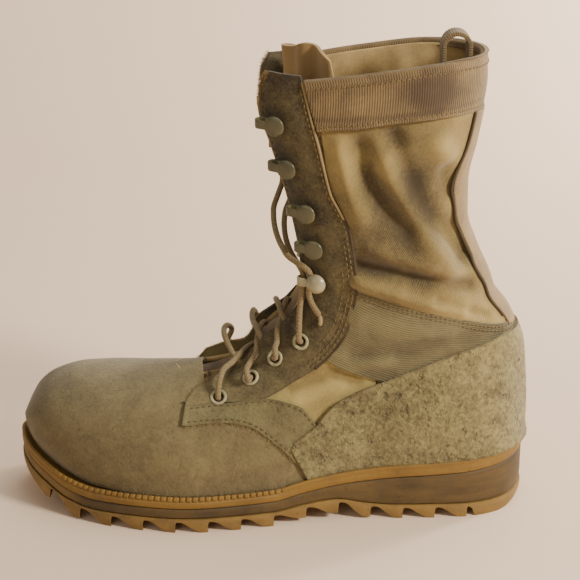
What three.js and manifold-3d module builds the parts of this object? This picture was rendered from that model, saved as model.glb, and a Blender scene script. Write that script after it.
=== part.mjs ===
// Left-foot desert combat boot: hollow upper on a sawtooth rubber sole, laced with eyelets and hooks.
// Millimetres. Toe towards -X, heel +X, outer side of the foot -Y, inner side +Y, floor at z = 0.
import * as THREE from 'three';
import { mergeVertices } from 'three/addons/utils/BufferGeometryUtils.js';
import Module from 'manifold-3d';

const wasm = await Module();
wasm.setup();

// Driving dimensions
const SOLE_LENGTH = 314;
const BALL_WIDTH = 110;
const WALL = 2.2;               // upper: suede or canvas with its lining
const GAP = 0.3;                // between pieces that touch
const SEAT_INSET = 6;           // upper's foot line, in from the sole's edge
const SEAT_SWELL = 3.5;         // how far the upper swells out above its foot line
const SWELL_HEIGHT = 14;
const BLEND = 14;               // softness where the foot form meets the shaft form
const THROAT_HALF_GAP = 17;
const THROAT_START_X = -42;
const TONGUE_THICK = 2.4;
const INSOLE_THICK = 4;
const COUNTER_THICK = 1.7;
const COLLAR_BAND_THICK = 1.6;
const LACE_RADIUS = 1.75;
const AGLET_RADIUS = 1.3;
const OUTSOLE_BASE = 2.6;       // sheet above the tread's roots
const TOOTH_PITCH = 19.6;
const TOOTH_TIP = 3.5;
const TOOTH_WALL_RUN = 0.8;
const FIRST_TOOTH_X = -135;
const TOOTH_COUNT = 14;
const HEEL_BLOCK_GAP = 5;       // from the last tooth to the flat rear block of the heel
const MIDSOLE_INSET = 0.6;
const LAST_TOOTH_X = FIRST_TOOTH_X + TOOTH_PITCH * (TOOTH_COUNT - 1);
const HALF_LENGTH = SOLE_LENGTH / 2;
const WIDE = 240;               // cutters: wider than the boot
const BEHIND = 170;             // cutters: past the heel, and past the toe on the other side
const ABOVE = 330;              // cutters: over the collar
const LONGEST_REACH = 175;      // no skin is further than this from its section's centre

// Sole outline seen from above: place along the length, and reach to each side as a share of ball width.
const SOLE_OUTLINE = [
  { along: -0.475, outer: 0.127, inner: 0.245 },
  { along: -0.420, outer: 0.300, inner: 0.373 },
  { along: -0.344, outer: 0.427, inner: 0.441 },
  { along: -0.248, outer: 0.509, inner: 0.464 },
  { along: -0.153, outer: 0.541, inner: 0.423 },
  { along: -0.048, outer: 0.500, inner: 0.350 },
  { along: 0.064, outer: 0.427, inner: 0.314 },
  { along: 0.175, outer: 0.382, inner: 0.318 },
  { along: 0.303, outer: 0.373, inner: 0.350 },
  { along: 0.398, outer: 0.345, inner: 0.332 },
  { along: 0.465, outer: 0.236, inner: 0.232 },
];
const TOE_TIP_Y = 10;

// Sole layers from the side: heights of the tread tips and of the top of each layer.
const SOLE_LAYERS = [
  { x: -158, tips: 21.5, outsole: 25.0, midsole: 31.5, welt: 39.5 },
  { x: -138, tips: 9.5, outsole: 17.6, midsole: 24.2, welt: 32.0 },
  { x: -124, tips: 3.2, outsole: 11.8, midsole: 18.4, welt: 26.5 },
  { x: -105, tips: 0.0, outsole: 8.6, midsole: 15.3, welt: 23.5 },
  { x: -50, tips: 0.0, outsole: 8.6, midsole: 15.3, welt: 23.3 },
  { x: 2, tips: 0.0, outsole: 8.6, midsole: 15.8, welt: 23.8 },
  { x: 20, tips: 3.0, outsole: 11.6, midsole: 19.5, welt: 27.5 },
  { x: 40, tips: 5.0, outsole: 13.6, midsole: 23.0, welt: 31.0 },
  { x: 58, tips: 1.6, outsole: 10.2, midsole: 25.2, welt: 33.4 },
  { x: 76, tips: 0.0, outsole: 8.6, midsole: 27.0, welt: 35.4 },
  { x: 115, tips: 0.0, outsole: 8.6, midsole: 29.4, welt: 38.2 },
  { x: 158, tips: 0.0, outsole: 8.6, midsole: 34.0, welt: 43.0 },
];
// Rounded rear corner of the heel, from the floor up to the back of the sole.
const HEEL_BEVEL = [[130, 0], [138, 3], [147, 8.6], [153, 14], [156, 21], [158, 30]];

// Foot form: ridge position and height over the length, and how square its cross-section is.
const FOOT_FORM = [
  { x: -156, ridge: 9, top: 44, square: 2.5 },
  { x: -150, ridge: 9, top: 58, square: 2.5 },
  { x: -144, ridge: 8, top: 67.5, square: 2.5 },
  { x: -134, ridge: 7, top: 75, square: 2.4 },
  { x: -115, ridge: 5, top: 81, square: 2.3 },
  { x: -73, ridge: 1, top: 84, square: 1.95 },
  { x: -41, ridge: -1, top: 88.5, square: 1.6 },
  { x: -20, ridge: -1, top: 96, square: 1.52 },
  { x: 0, ridge: 0, top: 106, square: 1.55 },
  { x: 18, ridge: 0, top: 115, square: 1.65 },
  { x: 90, ridge: 0, top: 115, square: 2.0 },
  { x: 140, ridge: 0, top: 98, square: 2.2 },
  { x: 150, ridge: 0, top: 82, square: 2.2 },
  { x: 158, ridge: 0, top: 56, square: 2.2 },
];

// Shaft form: front, back and half-width of its level sections.
const SHAFT_FORM = [
  { z: 15, front: 45, back: 151, half: 30 },
  { z: 45, front: 30, back: 155.5, half: 31 },
  { z: 60, front: 5, back: 156.5, half: 32.5 },
  { z: 82, front: -12, back: 155, half: 33.5 },
  { z: 102, front: -12, back: 152.5, half: 34 },
  { z: 123, front: 6, back: 144, half: 35.5 },
  { z: 136, front: 13, back: 134.5, half: 36 },
  { z: 146, front: 14, back: 131, half: 36.5 },
  { z: 162, front: 13, back: 123.5, half: 37 },
  { z: 185, front: 9, back: 116, half: 38 },
  { z: 205, front: 4, back: 115.5, half: 39 },
  { z: 229, front: -4, back: 120, half: 40 },
  { z: 247, front: -11, back: 123, half: 40.5 },
  { z: 268, front: -14, back: 125.5, half: 40 },
  { z: 305, front: -18, back: 124, half: 40 },
];
const WIDEST_SHARE = 0.55;      // widest place of a level section, from front to back
const FRONT_SQUARE = 2.1;
const BACK_SQUARE = 2.3;

// Side outlines of the pieces, in x and z.
const COLLAR_LINE = [[-60, 258], [-10, 266], [10, 270], [34, 273], [64, 277], [96, 281], [170, 281]];
const BAND_LOWER_LINE = [[27, 241], [49.5, 243.5], [71, 247], [97, 248.6], [170, 248]];
const BAND_FRONT_TOP = [20, 290];
const COUNTER_LINE = [[22.7, 10], [22.7, 29], [27.7, 63], [49.5, 80], [72.6, 90], [100, 101.5], [170, 120]];
const THROAT_REAR_LINE = [[-42, 70], [-20, 78], [5, 88], [30, 110], [36, 136], [36, 162], [26, 205],
  [16, 250], [14, 320]];
const TONGUE_REAR_LINE = [[-62, 66], [-30, 75], [0, 88], [22, 100], [36, 115], [38, 136], [36, 162],
  [27, 205], [22, 250], [24, 287.5]];
const TONGUE_TOP_FRONT = [-40, 270];

// Lace holes and hooks on each side, from the toe end up.
const EYELETS = [
  { x: -30.6, z: 76, innerDrop: 3 },
  { x: -11.4, z: 86, innerDrop: 6 },
  { x: 3.4, z: 98, innerDrop: 4 },
  { x: 18.6, z: 110, innerDrop: 1.5 },
];
const HOOKS = [
  { x: 29.2, z: 148.5, innerDrop: 0, head: 'ball' },
  { x: 27.5, z: 170, innerDrop: 0, head: 'disc' },
  { x: 23, z: 192, innerDrop: 0, head: 'disc' },
  { x: 12.4, z: 218, innerDrop: 0, head: 'disc' },
  { x: 5.4, z: 243.5, innerDrop: 0, head: 'disc' },
];
const EYELET = { outer: 5, hole: 2.5, barrel: 3.1, lift: 0.7, rim: 1.2, sides: 8 };
const HOOK = { head: 5.3, ball: 5.6, lift: 0.5, sheet: 1, mouth: 4.6, reach: 12.5, width: 6, sides: 12 };
const PULL_LOOP = { front: 98, rear: 115, foot: 262, top: 292, thick: 1.6, width: 16 };

// Lace strands: how far a crossing runs before it dives under the far facing, and heights above the skin.
const UNDER_FACING_SHARE = 0.76;
const OVER_EYELET = LACE_RADIUS + EYELET.lift + EYELET.rim + 3 * GAP;
const OVER_SKIN = LACE_RADIUS + 1.3;
const HOOK_MIDDLE = HOOK.lift + HOOK.sheet + HOOK.mouth / 2;
const OVER_INSTEP = new THREE.Vector3(-0.568, 0, 0.823);
const OVER_SHAFT = new THREE.Vector3(-1, 0, 0);
const SIDE_TILT = 0.95 / 26;    // how fast the skin turns sideways, away from the ridge

// Section planes of the boot, from the toe to the collar. They fan out over the toe, stand upright
// along the foot, turn about a point in front of the instep, and lie level up the shaft.
const RING_COUNT = 28;
const TOE_CENTRE_X = -108;
const TOE_FAN = [14, 30, 47, 67];
const UPRIGHT_COUNT = 4;
const TURN = { x: -58, z: 165, radius: 116, step: 7.5 };
const LEVEL_COUNT = 7;
const FORM_TOP = 300;
const FORM_BOTTOM = 14;         // how far the closed form runs on below the sole's top
const SHAFT_LEAN = -0.12;

// The outer side of the foot reaches further from the heel's middle line than the inner side does,
// so the whole boot is set over to bring the middle of its footprint to the origin.
const CENTRE_SHIFT_Y = 4.2;

const colours = { suede: 0x8f7a58, ochre: 0xa57a3e, brown: 0x765e3c, canvas: 0xaa8e60, enamel: 0x8f8f6c };

function finish(colour, roughness = 0.85, metalness = 0) {
  return new THREE.MeshStandardMaterial({ color: colour, roughness, metalness });
}

// Value of one named column between the rows of a table: cubic, and never past its neighbours.
function between(rows, place, column, at) {
  const last = rows.length - 1;
  if (at <= rows[0][place]) return rows[0][column];
  if (at >= rows[last][place]) return rows[last][column];
  let i = 0;
  while (rows[i + 1][place] < at) i += 1;
  const rise = (k) => (rows[k + 1][column] - rows[k][column]) / (rows[k + 1][place] - rows[k][place]);
  const tangent = (k) => {
    if (k === 0) return rise(0);
    if (k === last) return rise(last - 1);
    const [before, after] = [rise(k - 1), rise(k)];
    return before * after > 0 ? (2 * before * after) / (before + after) : 0;
  };
  const step = rows[i + 1][place] - rows[i][place];
  const t = (at - rows[i][place]) / step;
  const [a, b] = [rows[i][column], rows[i + 1][column]];
  const [p, q] = [tangent(i) * step, tangent(i + 1) * step];
  return a + t * (p + t * (3 * (b - a) - 2 * p - q + t * (2 * (a - b) + p + q)));
}

const layer = (x, name) => between(SOLE_LAYERS, 'x', name, x);

// Closed outline of the sole drawn in from its edge, as points seen from above.
function planOutline(inset, count) {
  const side = (row, name, sign) =>
    new THREE.Vector3(row.along * SOLE_LENGTH, sign * row[name] * BALL_WIDTH, 0);
  const points = [
    new THREE.Vector3(-HALF_LENGTH, TOE_TIP_Y, 0),
    ...SOLE_OUTLINE.map((row) => side(row, 'outer', -1)),
    new THREE.Vector3(HALF_LENGTH, 0, 0),
    ...SOLE_OUTLINE.map((row) => side(row, 'inner', 1)).reverse(),
  ];
  const curve = new THREE.CatmullRomCurve3(points, true, 'catmullrom', 0.5);
  return Array.from({ length: count }, (_, i) => {
    const p = curve.getPointAt(i / count);
    const along = curve.getTangentAt(i / count);
    return new THREE.Vector2(p.x - along.y * inset, p.y + along.x * inset);
  });
}

// Reach of the foot form to each side at its widest level, looked up from the outline.
const FORM_OUTLINE = planOutline(SEAT_INSET - SEAT_SWELL, 400);
function formEdge(x, side) {
  for (let i = 0; i < FORM_OUTLINE.length; i += 1) {
    const a = FORM_OUTLINE[i];
    const b = FORM_OUTLINE[(i + 1) % FORM_OUTLINE.length];
    const onSide = side < 0 ? b.x > a.x : a.x > b.x;
    if (onSide && (a.x - x) * (b.x - x) <= 0) return a.y + ((b.y - a.y) * (x - a.x)) / (b.x - a.x);
  }
  return undefined;
}

function ridgeY(x) {
  return between(FOOT_FORM, 'x', 'ridge', x);
}

// Half-width of the foot form at a point of its side view; zero or less outside it.
function footHalf(x, z, side) {
  const edge = formEdge(x, side);
  if (edge === undefined) return -1;
  const wide = (edge - ridgeY(x)) * side;
  const widest = layer(x, 'welt') + SWELL_HEIGHT;
  if (z < widest) {
    const down = Math.min(1, (widest - z) / SWELL_HEIGHT);
    return wide - SEAT_SWELL * down * down;
  }
  const height = (z - widest) / (between(FOOT_FORM, 'x', 'top', x) - widest);
  if (height >= 1) return -1;
  const square = between(FOOT_FORM, 'x', 'square', x);
  return wide * (1 - height ** square) ** (1 / square);
}

// Half-width of the shaft form at a point of its side view; zero or less outside it.
function shaftHalf(x, z) {
  const front = between(SHAFT_FORM, 'z', 'front', z);
  const back = between(SHAFT_FORM, 'z', 'back', z);
  const widest = front + WIDEST_SHARE * (back - front);
  const reach = x < widest ? (widest - x) / (widest - front) : (x - widest) / (back - widest);
  if (reach >= 1) return -1;
  const square = x < widest ? FRONT_SQUARE : BACK_SQUARE;
  return between(SHAFT_FORM, 'z', 'half', z) * (1 - reach ** square) ** (1 / square);
}

// Half-width of the whole boot form: foot and shaft, softly joined.
function bootHalf(x, z, side) {
  const foot = footHalf(x, z, side);
  const shaft = shaftHalf(x, z);
  const low = Math.min(foot, shaft);
  const high = Math.max(foot, shaft);
  if (low <= 0) return high;
  const near = Math.max(0, 1 - (high - low) / BLEND);
  return high + near * near * (BLEND / 4) * Math.min(1, low / BLEND);
}

function insideForm(p) {
  if (p.z < layer(p.x, 'welt') - FORM_BOTTOM) return false;
  const across = p.y - ridgeY(p.x);
  return Math.abs(across) < bootHalf(p.x, p.z, across < 0 ? -1 : 1);
}

// Last distance from an inside point along a ray at which the ray is still inside the form.
function reachOf(origin, direction, limit) {
  let [near, far] = [0, limit];
  const probe = new THREE.Vector3();
  for (let i = 0; i < 22; i += 1) {
    const middle = (near + far) / 2;
    probe.copy(origin).addScaledVector(direction, middle);
    if (insideForm(probe)) near = middle;
    else far = middle;
  }
  return near;
}

const CORE_Z = TURN.z - TURN.radius;
function sectionPlanes() {
  const planes = [];
  const radians = THREE.MathUtils.degToRad;
  for (const degrees of TOE_FAN) {
    planes.push({ x: TOE_CENTRE_X, z: CORE_Z, up: [0, 1], spread: Math.sin(radians(degrees)) });
  }
  for (let i = 0; i < UPRIGHT_COUNT; i += 1) {
    const x = TOE_CENTRE_X + ((TURN.x - TOE_CENTRE_X) * i) / UPRIGHT_COUNT;
    planes.push({ x, z: CORE_Z, up: [0, 1], spread: 1 });
  }
  for (let degrees = 0; degrees <= 90; degrees += TURN.step) {
    const [s, c] = [Math.sin(radians(degrees)), Math.cos(radians(degrees))];
    planes.push({ x: TURN.x + s * TURN.radius, z: TURN.z - c * TURN.radius, up: [-s, c], spread: 1 });
  }
  for (let i = 1; i <= LEVEL_COUNT; i += 1) {
    const z = TURN.z + ((FORM_TOP - TURN.z) * i) / LEVEL_COUNT;
    planes.push({ x: TURN.x + TURN.radius + SHAFT_LEAN * (z - TURN.z), z, up: [-1, 0], spread: 1 });
  }
  return planes;
}

// The boot form's skin as rings of points, all rings with the same count.
const FORM_RINGS = sectionPlanes().map((plane) => {
  const origin = new THREE.Vector3(plane.x, ridgeY(plane.x), plane.z);
  const forward = -Math.sqrt(Math.max(0, 1 - plane.spread ** 2));
  return Array.from({ length: RING_COUNT }, (_, i) => {
    const turn = (2 * Math.PI * i) / RING_COUNT;
    const [s, c] = [Math.sin(turn), Math.cos(turn)];
    const direction = new THREE.Vector3(
      forward + plane.spread * plane.up[0] * c, plane.spread * s, plane.spread * plane.up[1] * c,
    );
    return origin.clone().addScaledVector(direction, reachOf(origin, direction, LONGEST_REACH));
  });
});
const TOE_ORIGIN = new THREE.Vector3(TOE_CENTRE_X, ridgeY(TOE_CENTRE_X), CORE_Z);
const TOE_POLE = TOE_ORIGIN.clone();
TOE_POLE.x -= reachOf(TOE_ORIGIN, new THREE.Vector3(-1, 0, 0), LONGEST_REACH);

// Outward direction of the form's skin at one point of its rings.
function skinNormal(ring, i) {
  const at = (k, j) => {
    if (k < 0) return TOE_POLE;
    return FORM_RINGS[Math.min(k, FORM_RINGS.length - 1)][(j + RING_COUNT) % RING_COUNT];
  };
  const along = new THREE.Vector3().subVectors(at(ring + 1, i), at(ring - 1, i));
  const around = new THREE.Vector3().subVectors(at(ring, i + 1), at(ring, i - 1));
  return along.cross(around).normalize();
}

function solidOf(positions, triangles) {
  return new wasm.Manifold(new wasm.Mesh({
    numProp: 3,
    vertProperties: new Float32Array(positions),
    triVerts: new Uint32Array(triangles),
  }));
}

// The whole closed form, its skin moved out by a distance (in, if negative).
function bootForm(shift) {
  const positions = [];
  FORM_RINGS.forEach((ring, k) => ring.forEach((point, i) => {
    positions.push(...point.clone().addScaledVector(skinNormal(k, i), shift).toArray());
  }));
  const pole = positions.length / 3;
  positions.push(TOE_POLE.x - shift, TOE_POLE.y, TOE_POLE.z);
  const top = pole + 1;
  const lastRing = FORM_RINGS.length - 1;
  positions.push(TURN.x + TURN.radius, 0, FORM_TOP);
  const triangles = [];
  for (let i = 0; i < RING_COUNT; i += 1) {
    const j = (i + 1) % RING_COUNT;
    triangles.push(pole, i, j);
    for (let k = 0; k < lastRing; k += 1) {
      const [a, b] = [k * RING_COUNT, (k + 1) * RING_COUNT];
      triangles.push(a + i, b + i, b + j, a + i, b + j, a + j);
    }
    triangles.push(top, lastRing * RING_COUNT + j, lastRing * RING_COUNT + i);
  }
  return faceOut(positions, triangles);
}

function signedVolume(positions, triangles) {
  const corner = (i) => new THREE.Vector3().fromArray(positions, 3 * i);
  let sum = 0;
  for (let t = 0; t < triangles.length; t += 3) {
    const [a, b, c] = [corner(triangles[t]), corner(triangles[t + 1]), corner(triangles[t + 2])];
    sum += a.dot(b.cross(c));
  }
  return sum / 6;
}

// A solid from a closed mesh, whichever way round its triangles were listed.
function faceOut(positions, triangles) {
  if (signedVolume(positions, triangles) > 0) return solidOf(positions, triangles);
  const turned = [];
  for (let t = 0; t < triangles.length; t += 3) {
    turned.push(triangles[t], triangles[t + 2], triangles[t + 1]);
  }
  return solidOf(positions, turned);
}

function solidFrom(geometry) {
  const bare = geometry.index ? geometry.toNonIndexed() : geometry.clone();
  bare.deleteAttribute('normal');
  bare.deleteAttribute('uv');
  const merged = mergeVertices(bare, 1e-4);
  return faceOut([...merged.attributes.position.array], [...merged.index.array]);
}

function extruded(points, depth) {
  const shape = new THREE.Shape(points.map((p) => (p.isVector2 ? p : new THREE.Vector2(p[0], p[1]))));
  return new THREE.ExtrudeGeometry(shape, { depth, bevelEnabled: false, steps: 1 });
}

// A side outline in x and z, carried right across the boot.
function sideSlab(points, width = WIDE) {
  return solidFrom(extruded(points, width).rotateX(Math.PI / 2).translate(0, width / 2, 0));
}

const OUTLINE_POINTS = 60;

// An outline seen from above, carried up through the whole boot.
function planSlab(inset, count) {
  return solidFrom(extruded(planOutline(inset, count), 2 * WIDE).translate(0, 0, -WIDE));
}

// x places at which the sole's side outlines have a point, from just past the toe to just past the heel.
const SIDE_STEP_COUNT = 40;
const SIDE_REACH = 158;
const SIDE_STEPS = Array.from({ length: SIDE_STEP_COUNT + 1 }, (_, i) =>
  SIDE_REACH * ((2 * i) / SIDE_STEP_COUNT - 1));
const sideLine = (name, lift = 0) => SIDE_STEPS.map((x) => [x, layer(x, name) + lift]);

// Sawtooth underside: each tooth slopes down towards the heel to a flat tip with an upright rear wall.
function treadLine() {
  const root = (x) => layer(x, 'outsole') - OUTSOLE_BASE;
  const line = [[-SIDE_REACH, layer(-SIDE_REACH, 'tips')]];
  for (let i = 0; i < TOOTH_COUNT; i += 1) {
    const wall = FIRST_TOOTH_X + i * TOOTH_PITCH;
    line.push([wall - TOOTH_TIP, layer(wall, 'tips')], [wall, layer(wall, 'tips')]);
    line.push([wall + TOOTH_WALL_RUN, root(wall)]);
  }
  line.push([LAST_TOOTH_X + HEEL_BLOCK_GAP, 0]);
  return line;
}

function outsole() {
  const tread = treadLine();
  const rear = HEEL_BEVEL.filter(([, z]) => z <= layer(0, 'outsole'));
  const top = sideLine('outsole').filter(([x]) => x < rear[rear.length - 1][0]).reverse();
  return sideSlab([...tread, ...rear, ...top]).intersect(planSlab(0, OUTLINE_POINTS));
}

function midsole() {
  const rear = HEEL_BEVEL.filter(([, z]) => z > layer(0, 'outsole') - 1);
  const bottom = sideLine('outsole', GAP).filter(([x]) => x < rear[0][0]);
  const start = [rear[0][0], rear[0][1] + GAP];
  const top = sideLine('midsole').reverse();
  return sideSlab([...bottom, start, ...rear.slice(1), ...top])
    .intersect(planSlab(MIDSOLE_INSET, OUTLINE_POINTS));
}

function welt() {
  return sideSlab([...sideLine('midsole', GAP), ...sideLine('welt').reverse()])
    .intersect(planSlab(0, OUTLINE_POINTS));
}

function insole() {
  return sideSlab([...sideLine('welt', GAP), ...sideLine('welt', GAP + INSOLE_THICK).reverse()])
    .intersect(bootForm(-WALL - GAP - 0.1));
}

const aboveSole = () => sideSlab([...sideLine('welt', GAP), [BEHIND, ABOVE], [-BEHIND, ABOVE]]);
const belowCollar = () => sideSlab([[BEHIND, 0], ...COLLAR_LINE.slice().reverse(), [-60, 150],
  [-BEHIND, 150], [-BEHIND, 0]]);

function upperShell() {
  const throat = sideSlab([...THROAT_REAR_LINE, [-70, ABOVE], [-70, 140], [THROAT_START_X, 130]],
    2 * THROAT_HALF_GAP);
  const wall = bootForm(0).subtract(bootForm(-WALL));
  return wall.intersect(aboveSole()).intersect(belowCollar()).subtract(throat);
}

function tongue() {
  const zone = sideSlab([...TONGUE_REAR_LINE, TONGUE_TOP_FRONT, [-62, 150]]);
  const outer = WALL + 2 * GAP;
  return bootForm(-outer).subtract(bootForm(-outer - TONGUE_THICK)).intersect(zone);
}

function heelCounter() {
  const zone = sideSlab([...COUNTER_LINE, [BEHIND, 10]]);
  return bootForm(GAP + COUNTER_THICK).subtract(bootForm(GAP)).intersect(zone).intersect(aboveSole());
}

function collarBand() {
  const zone = sideSlab([...BAND_LOWER_LINE, [BEHIND, 290], BAND_FRONT_TOP]);
  return bootForm(GAP + COLLAR_BAND_THICK).subtract(bootForm(GAP)).intersect(zone).intersect(belowCollar());
}

// Point on the form's skin and its outward direction, from a place in the side view.
function skinPoint(x, z, side) {
  return new THREE.Vector3(x, ridgeY(x) + side * bootHalf(x, z, side), z);
}

function skinFrame(x, z, side, forward) {
  const step = 1.5;             // over which the skin's slope is measured
  const slopeX = (bootHalf(x + step, z, side) - bootHalf(x - step, z, side)) / (2 * step);
  const slopeZ = (bootHalf(x, z + step, side) - bootHalf(x, z - step, side)) / (2 * step);
  const out = new THREE.Vector3(-slopeX, side, -slopeZ).normalize();
  const ahead = new THREE.Vector3(...forward).addScaledVector(out, -out.dot(new THREE.Vector3(...forward)));
  ahead.normalize();
  const across = new THREE.Vector3().crossVectors(out, ahead);
  return new THREE.Matrix4().makeBasis(ahead, across, out).setPosition(skinPoint(x, z, side));
}

// Frame of a lace fitting on the skin: its x points to the throat, its z out of the boot.
const TO_FRONT = [-1, 0, 0];
function fittingFrame(fitting, side) {
  return skinFrame(fitting.x, fitting.z - (side > 0 ? fitting.innerDrop : 0), side, TO_FRONT);
}

const SIDES = [{ name: 'outer', sign: -1 }, { name: 'inner', sign: 1 }];

// Closed lathe ring about its own z axis, from a closed profile of radius and height.
function ringSolid(profile, sides) {
  const points = [...profile, profile[0]].map(([r, h]) => new THREE.Vector2(r, h));
  return solidFrom(new THREE.LatheGeometry(points, sides).rotateX(Math.PI / 2));
}

function eyeletSolid() {
  const { outer, hole, barrel, lift, rim, sides } = EYELET;
  const depth = GAP - WALL;
  return ringSolid([[hole, depth], [barrel, depth], [barrel, lift], [outer, lift], [outer - 0.5, lift + rim],
    [hole + 0.4, lift + rim]], sides);
}

// Room for an eyelet in the upper: a hole for its barrel and a shallow seat for its rim.
function eyeletRoom() {
  const { outer, barrel, lift } = EYELET;
  const [narrow, wide, seat] = [barrel + 0.45, outer + 0.4, lift - GAP];
  const steps = [[0, -9], [narrow, -9], [narrow, seat], [wide, seat], [wide, 9], [0, 9]];
  const profile = steps.map(([r, h]) => new THREE.Vector2(r, h));
  return solidFrom(new THREE.LatheGeometry(profile, EYELET.sides).rotateX(Math.PI / 2));
}

// Speed hook: a strip folded over on itself, with a round head held clear above the facing.
function hookSolid(kind) {
  const { head, ball, lift, sheet, mouth, reach, width, sides } = HOOK;
  const [low, high] = [lift + sheet, lift + sheet + mouth];
  const top = high + sheet;
  const strip = [[-3, lift], [reach - 1.6, lift], [reach, lift + 2], [reach, top - 2], [reach - 1.6, top],
    [2, top], [2, high], [reach - 2, high], [reach - sheet, high - 1.4], [reach - sheet, low + 1.4],
    [reach - 2, low], [-3, low]];
  const fold = solidFrom(extruded(strip, width).rotateX(Math.PI / 2).translate(0, width / 2, 0));
  const disc = new THREE.CylinderGeometry(head, head, sheet, sides).rotateX(Math.PI / 2);
  disc.translate(0, 0, high + sheet / 2);
  const flat = fold.add(solidFrom(disc));
  if (kind === 'disc') return flat;
  const dome = [[0, 0], [ball, 0], [ball, 1.4], [0.8 * ball, 2.8], [0.4 * ball, 3.6], [0, 3.8]];
  const lathe = new THREE.LatheGeometry(dome.map(([r, h]) => new THREE.Vector2(r, h)), sides);
  return flat.add(solidFrom(lathe.rotateX(Math.PI / 2).translate(0, 0, high + 0.2)));
}

// A round cord along points, closed at both ends.
function cordSolid(points, radius, sides, steps) {
  const section = new THREE.Shape(Array.from({ length: sides }, (_, i) => new THREE.Vector2(
    radius * Math.cos((2 * Math.PI * i) / sides), radius * Math.sin((2 * Math.PI * i) / sides),
  )));
  const path = new THREE.CatmullRomCurve3(points.map((p) => (p.isVector3 ? p : new THREE.Vector3(...p))));
  return solidFrom(new THREE.ExtrudeGeometry(section, { steps, extrudePath: path, bevelEnabled: false }));
}

// Lace path over the throat from a place on one side to a place on the other, at a height above the skin.
function lacePath(start, end, over, lift, share = 1) {
  const count = 8;
  return Array.from({ length: count + 1 }, (_, i) => {
    const t = (share * i) / count;
    const place = new THREE.Vector3().lerpVectors(start, end, t);
    const base = new THREE.Vector3(place.x, 0.97 * place.y, place.z);
    base.addScaledVector(over, reachOf(base, over, 40));
    const tilt = SIDE_TILT * place.y;
    base.addScaledVector(over, lift(t) * Math.cos(tilt));
    base.y = place.y + lift(t) * Math.sin(tilt);
    return base;
  });
}

// Two crossing strands: each leaves its lower eyelet on top and stops where it dives under the far facing.
const centreOf = (fitting, side) => new THREE.Vector3().setFromMatrixPosition(fittingFrame(fitting, side));
function laceCrossing(lower, upper) {
  const lift = (t) => OVER_SKIN + (OVER_EYELET - OVER_SKIN) * Math.max(0, 1 - 4 * t);
  const strands = SIDES.map(({ sign }) => {
    const [start, end] = [centreOf(lower, sign), centreOf(upper, -sign)];
    return cordSolid(lacePath(start, end, OVER_INSTEP, lift, UNDER_FACING_SHARE), LACE_RADIUS, 8, 6);
  });
  return strands[0].add(strands[1]);
}

// Places in a fitting's own frame: ahead towards the throat, down or up across it, and out from the skin.
function placesAt(fitting, side, places) {
  const frame = fittingFrame(fitting, side);
  return places.map(([ahead, across, out]) => new THREE.Vector3(ahead, across, out).applyMatrix4(frame));
}

// The lace above the eyelets: up the outer facing, through the locking hook and over to a far hook.
const [LOCKING_HOOK, FAR_HOOK] = [HOOKS[0], HOOKS[2]];
function laceRiser() {
  const [low, high] = [placesAt(LOCKING_HOOK, -1, [[9.2, 5, HOOK_MIDDLE], [9.2, -4, HOOK_MIDDLE]]),
    placesAt(FAR_HOOK, 1, [[8.4, -5, HOOK_MIDDLE], [8.4, -1, HOOK_MIDDLE]])];
  const [from, to] = [skinPoint(20.5, 156, -1), skinPoint(14.5, 184, 1)];
  const overThroat = lacePath(from, to, OVER_SHAFT, () => OVER_SKIN);
  const start = placesAt(EYELETS[3], -1, [[0, 0, OVER_EYELET], [0, -7, 3.6], [-0.4, -20, 3.4]]);
  return cordSolid([...start, ...low, ...overThroat.slice(1, -1), ...high], LACE_RADIUS, 8, 20);
}

// The free end: round the far hook, back down through the locking hook, and hanging over the facing.
function laceEndPath() {
  const bend = [[8.6, 4.6, HOOK_MIDDLE], [11, 7.4, 4.8], [14.6, 5, 5.4], [15.4, 0, 5.8]];
  const round = placesAt(FAR_HOOK, 1, bend);
  const [from, to] = [skinPoint(11.5, 187, 1), skinPoint(23, 158, -1)];
  const overThroat = lacePath(from, to, OVER_SHAFT, () => OVER_SKIN + 3 * LACE_RADIUS);
  const locking = placesAt(LOCKING_HOOK, -1, [[4.6, -7, HOOK_MIDDLE + 1.4], [4.3, 0, HOOK_MIDDLE]]);
  const hanging = [[25.4, 141.5, 4], [25.6, 136.5, 3], [27.5, 131.5, 2.6], [30.6, 127, 2.5]];
  return [...round, ...overThroat.slice(1, -1), ...locking, ...hanging.map(outerPlace)];
}

// Place over the outer side of the skin, at a height above it.
function outerPlace([x, z, height]) {
  return new THREE.Vector3(0, 0, height).applyMatrix4(skinFrame(x, z, -1, TO_FRONT));
}

function aglet() {
  return cordSolid([[30.9, 126, 2.5], [31, 123.5, 2.4], [30.2, 120, 2.3]].map(outerPlace), AGLET_RADIUS, 8, 3);
}

// Pull loop of webbing standing inside the back of the collar.
function pullLoop() {
  const { front, rear, foot, top, thick, width } = PULL_LOOP;
  const middle = (front + rear) / 2;
  const radius = (rear - front) / 2;
  const arch = (r) => Array.from({ length: 9 }, (_, i) => {
    const turn = (Math.PI * i) / 8;
    return [middle + r * Math.cos(turn), top - radius + r * Math.sin(turn)];
  });
  const outline = [[rear, foot], ...arch(radius), [front, foot], [front + thick, foot],
    ...arch(radius - thick).reverse(), [rear - thick, foot]];
  return solidFrom(extruded(outline, width).rotateX(Math.PI / 2).translate(0, width / 2, 0));
}

const boot = new THREE.Group();
boot.name = 'combat_boot';
boot.position.y = CENTRE_SHIFT_Y;

function addPiece(name, solid, material) {
  const mesh = solid.getMesh();
  const geometry = new THREE.BufferGeometry();
  geometry.setAttribute('position', new THREE.BufferAttribute(mesh.vertProperties, 3));
  geometry.setIndex(new THREE.BufferAttribute(mesh.triVerts, 1));
  const piece = new THREE.Mesh(geometry, material);
  piece.name = name;
  boot.add(piece);
}

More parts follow.
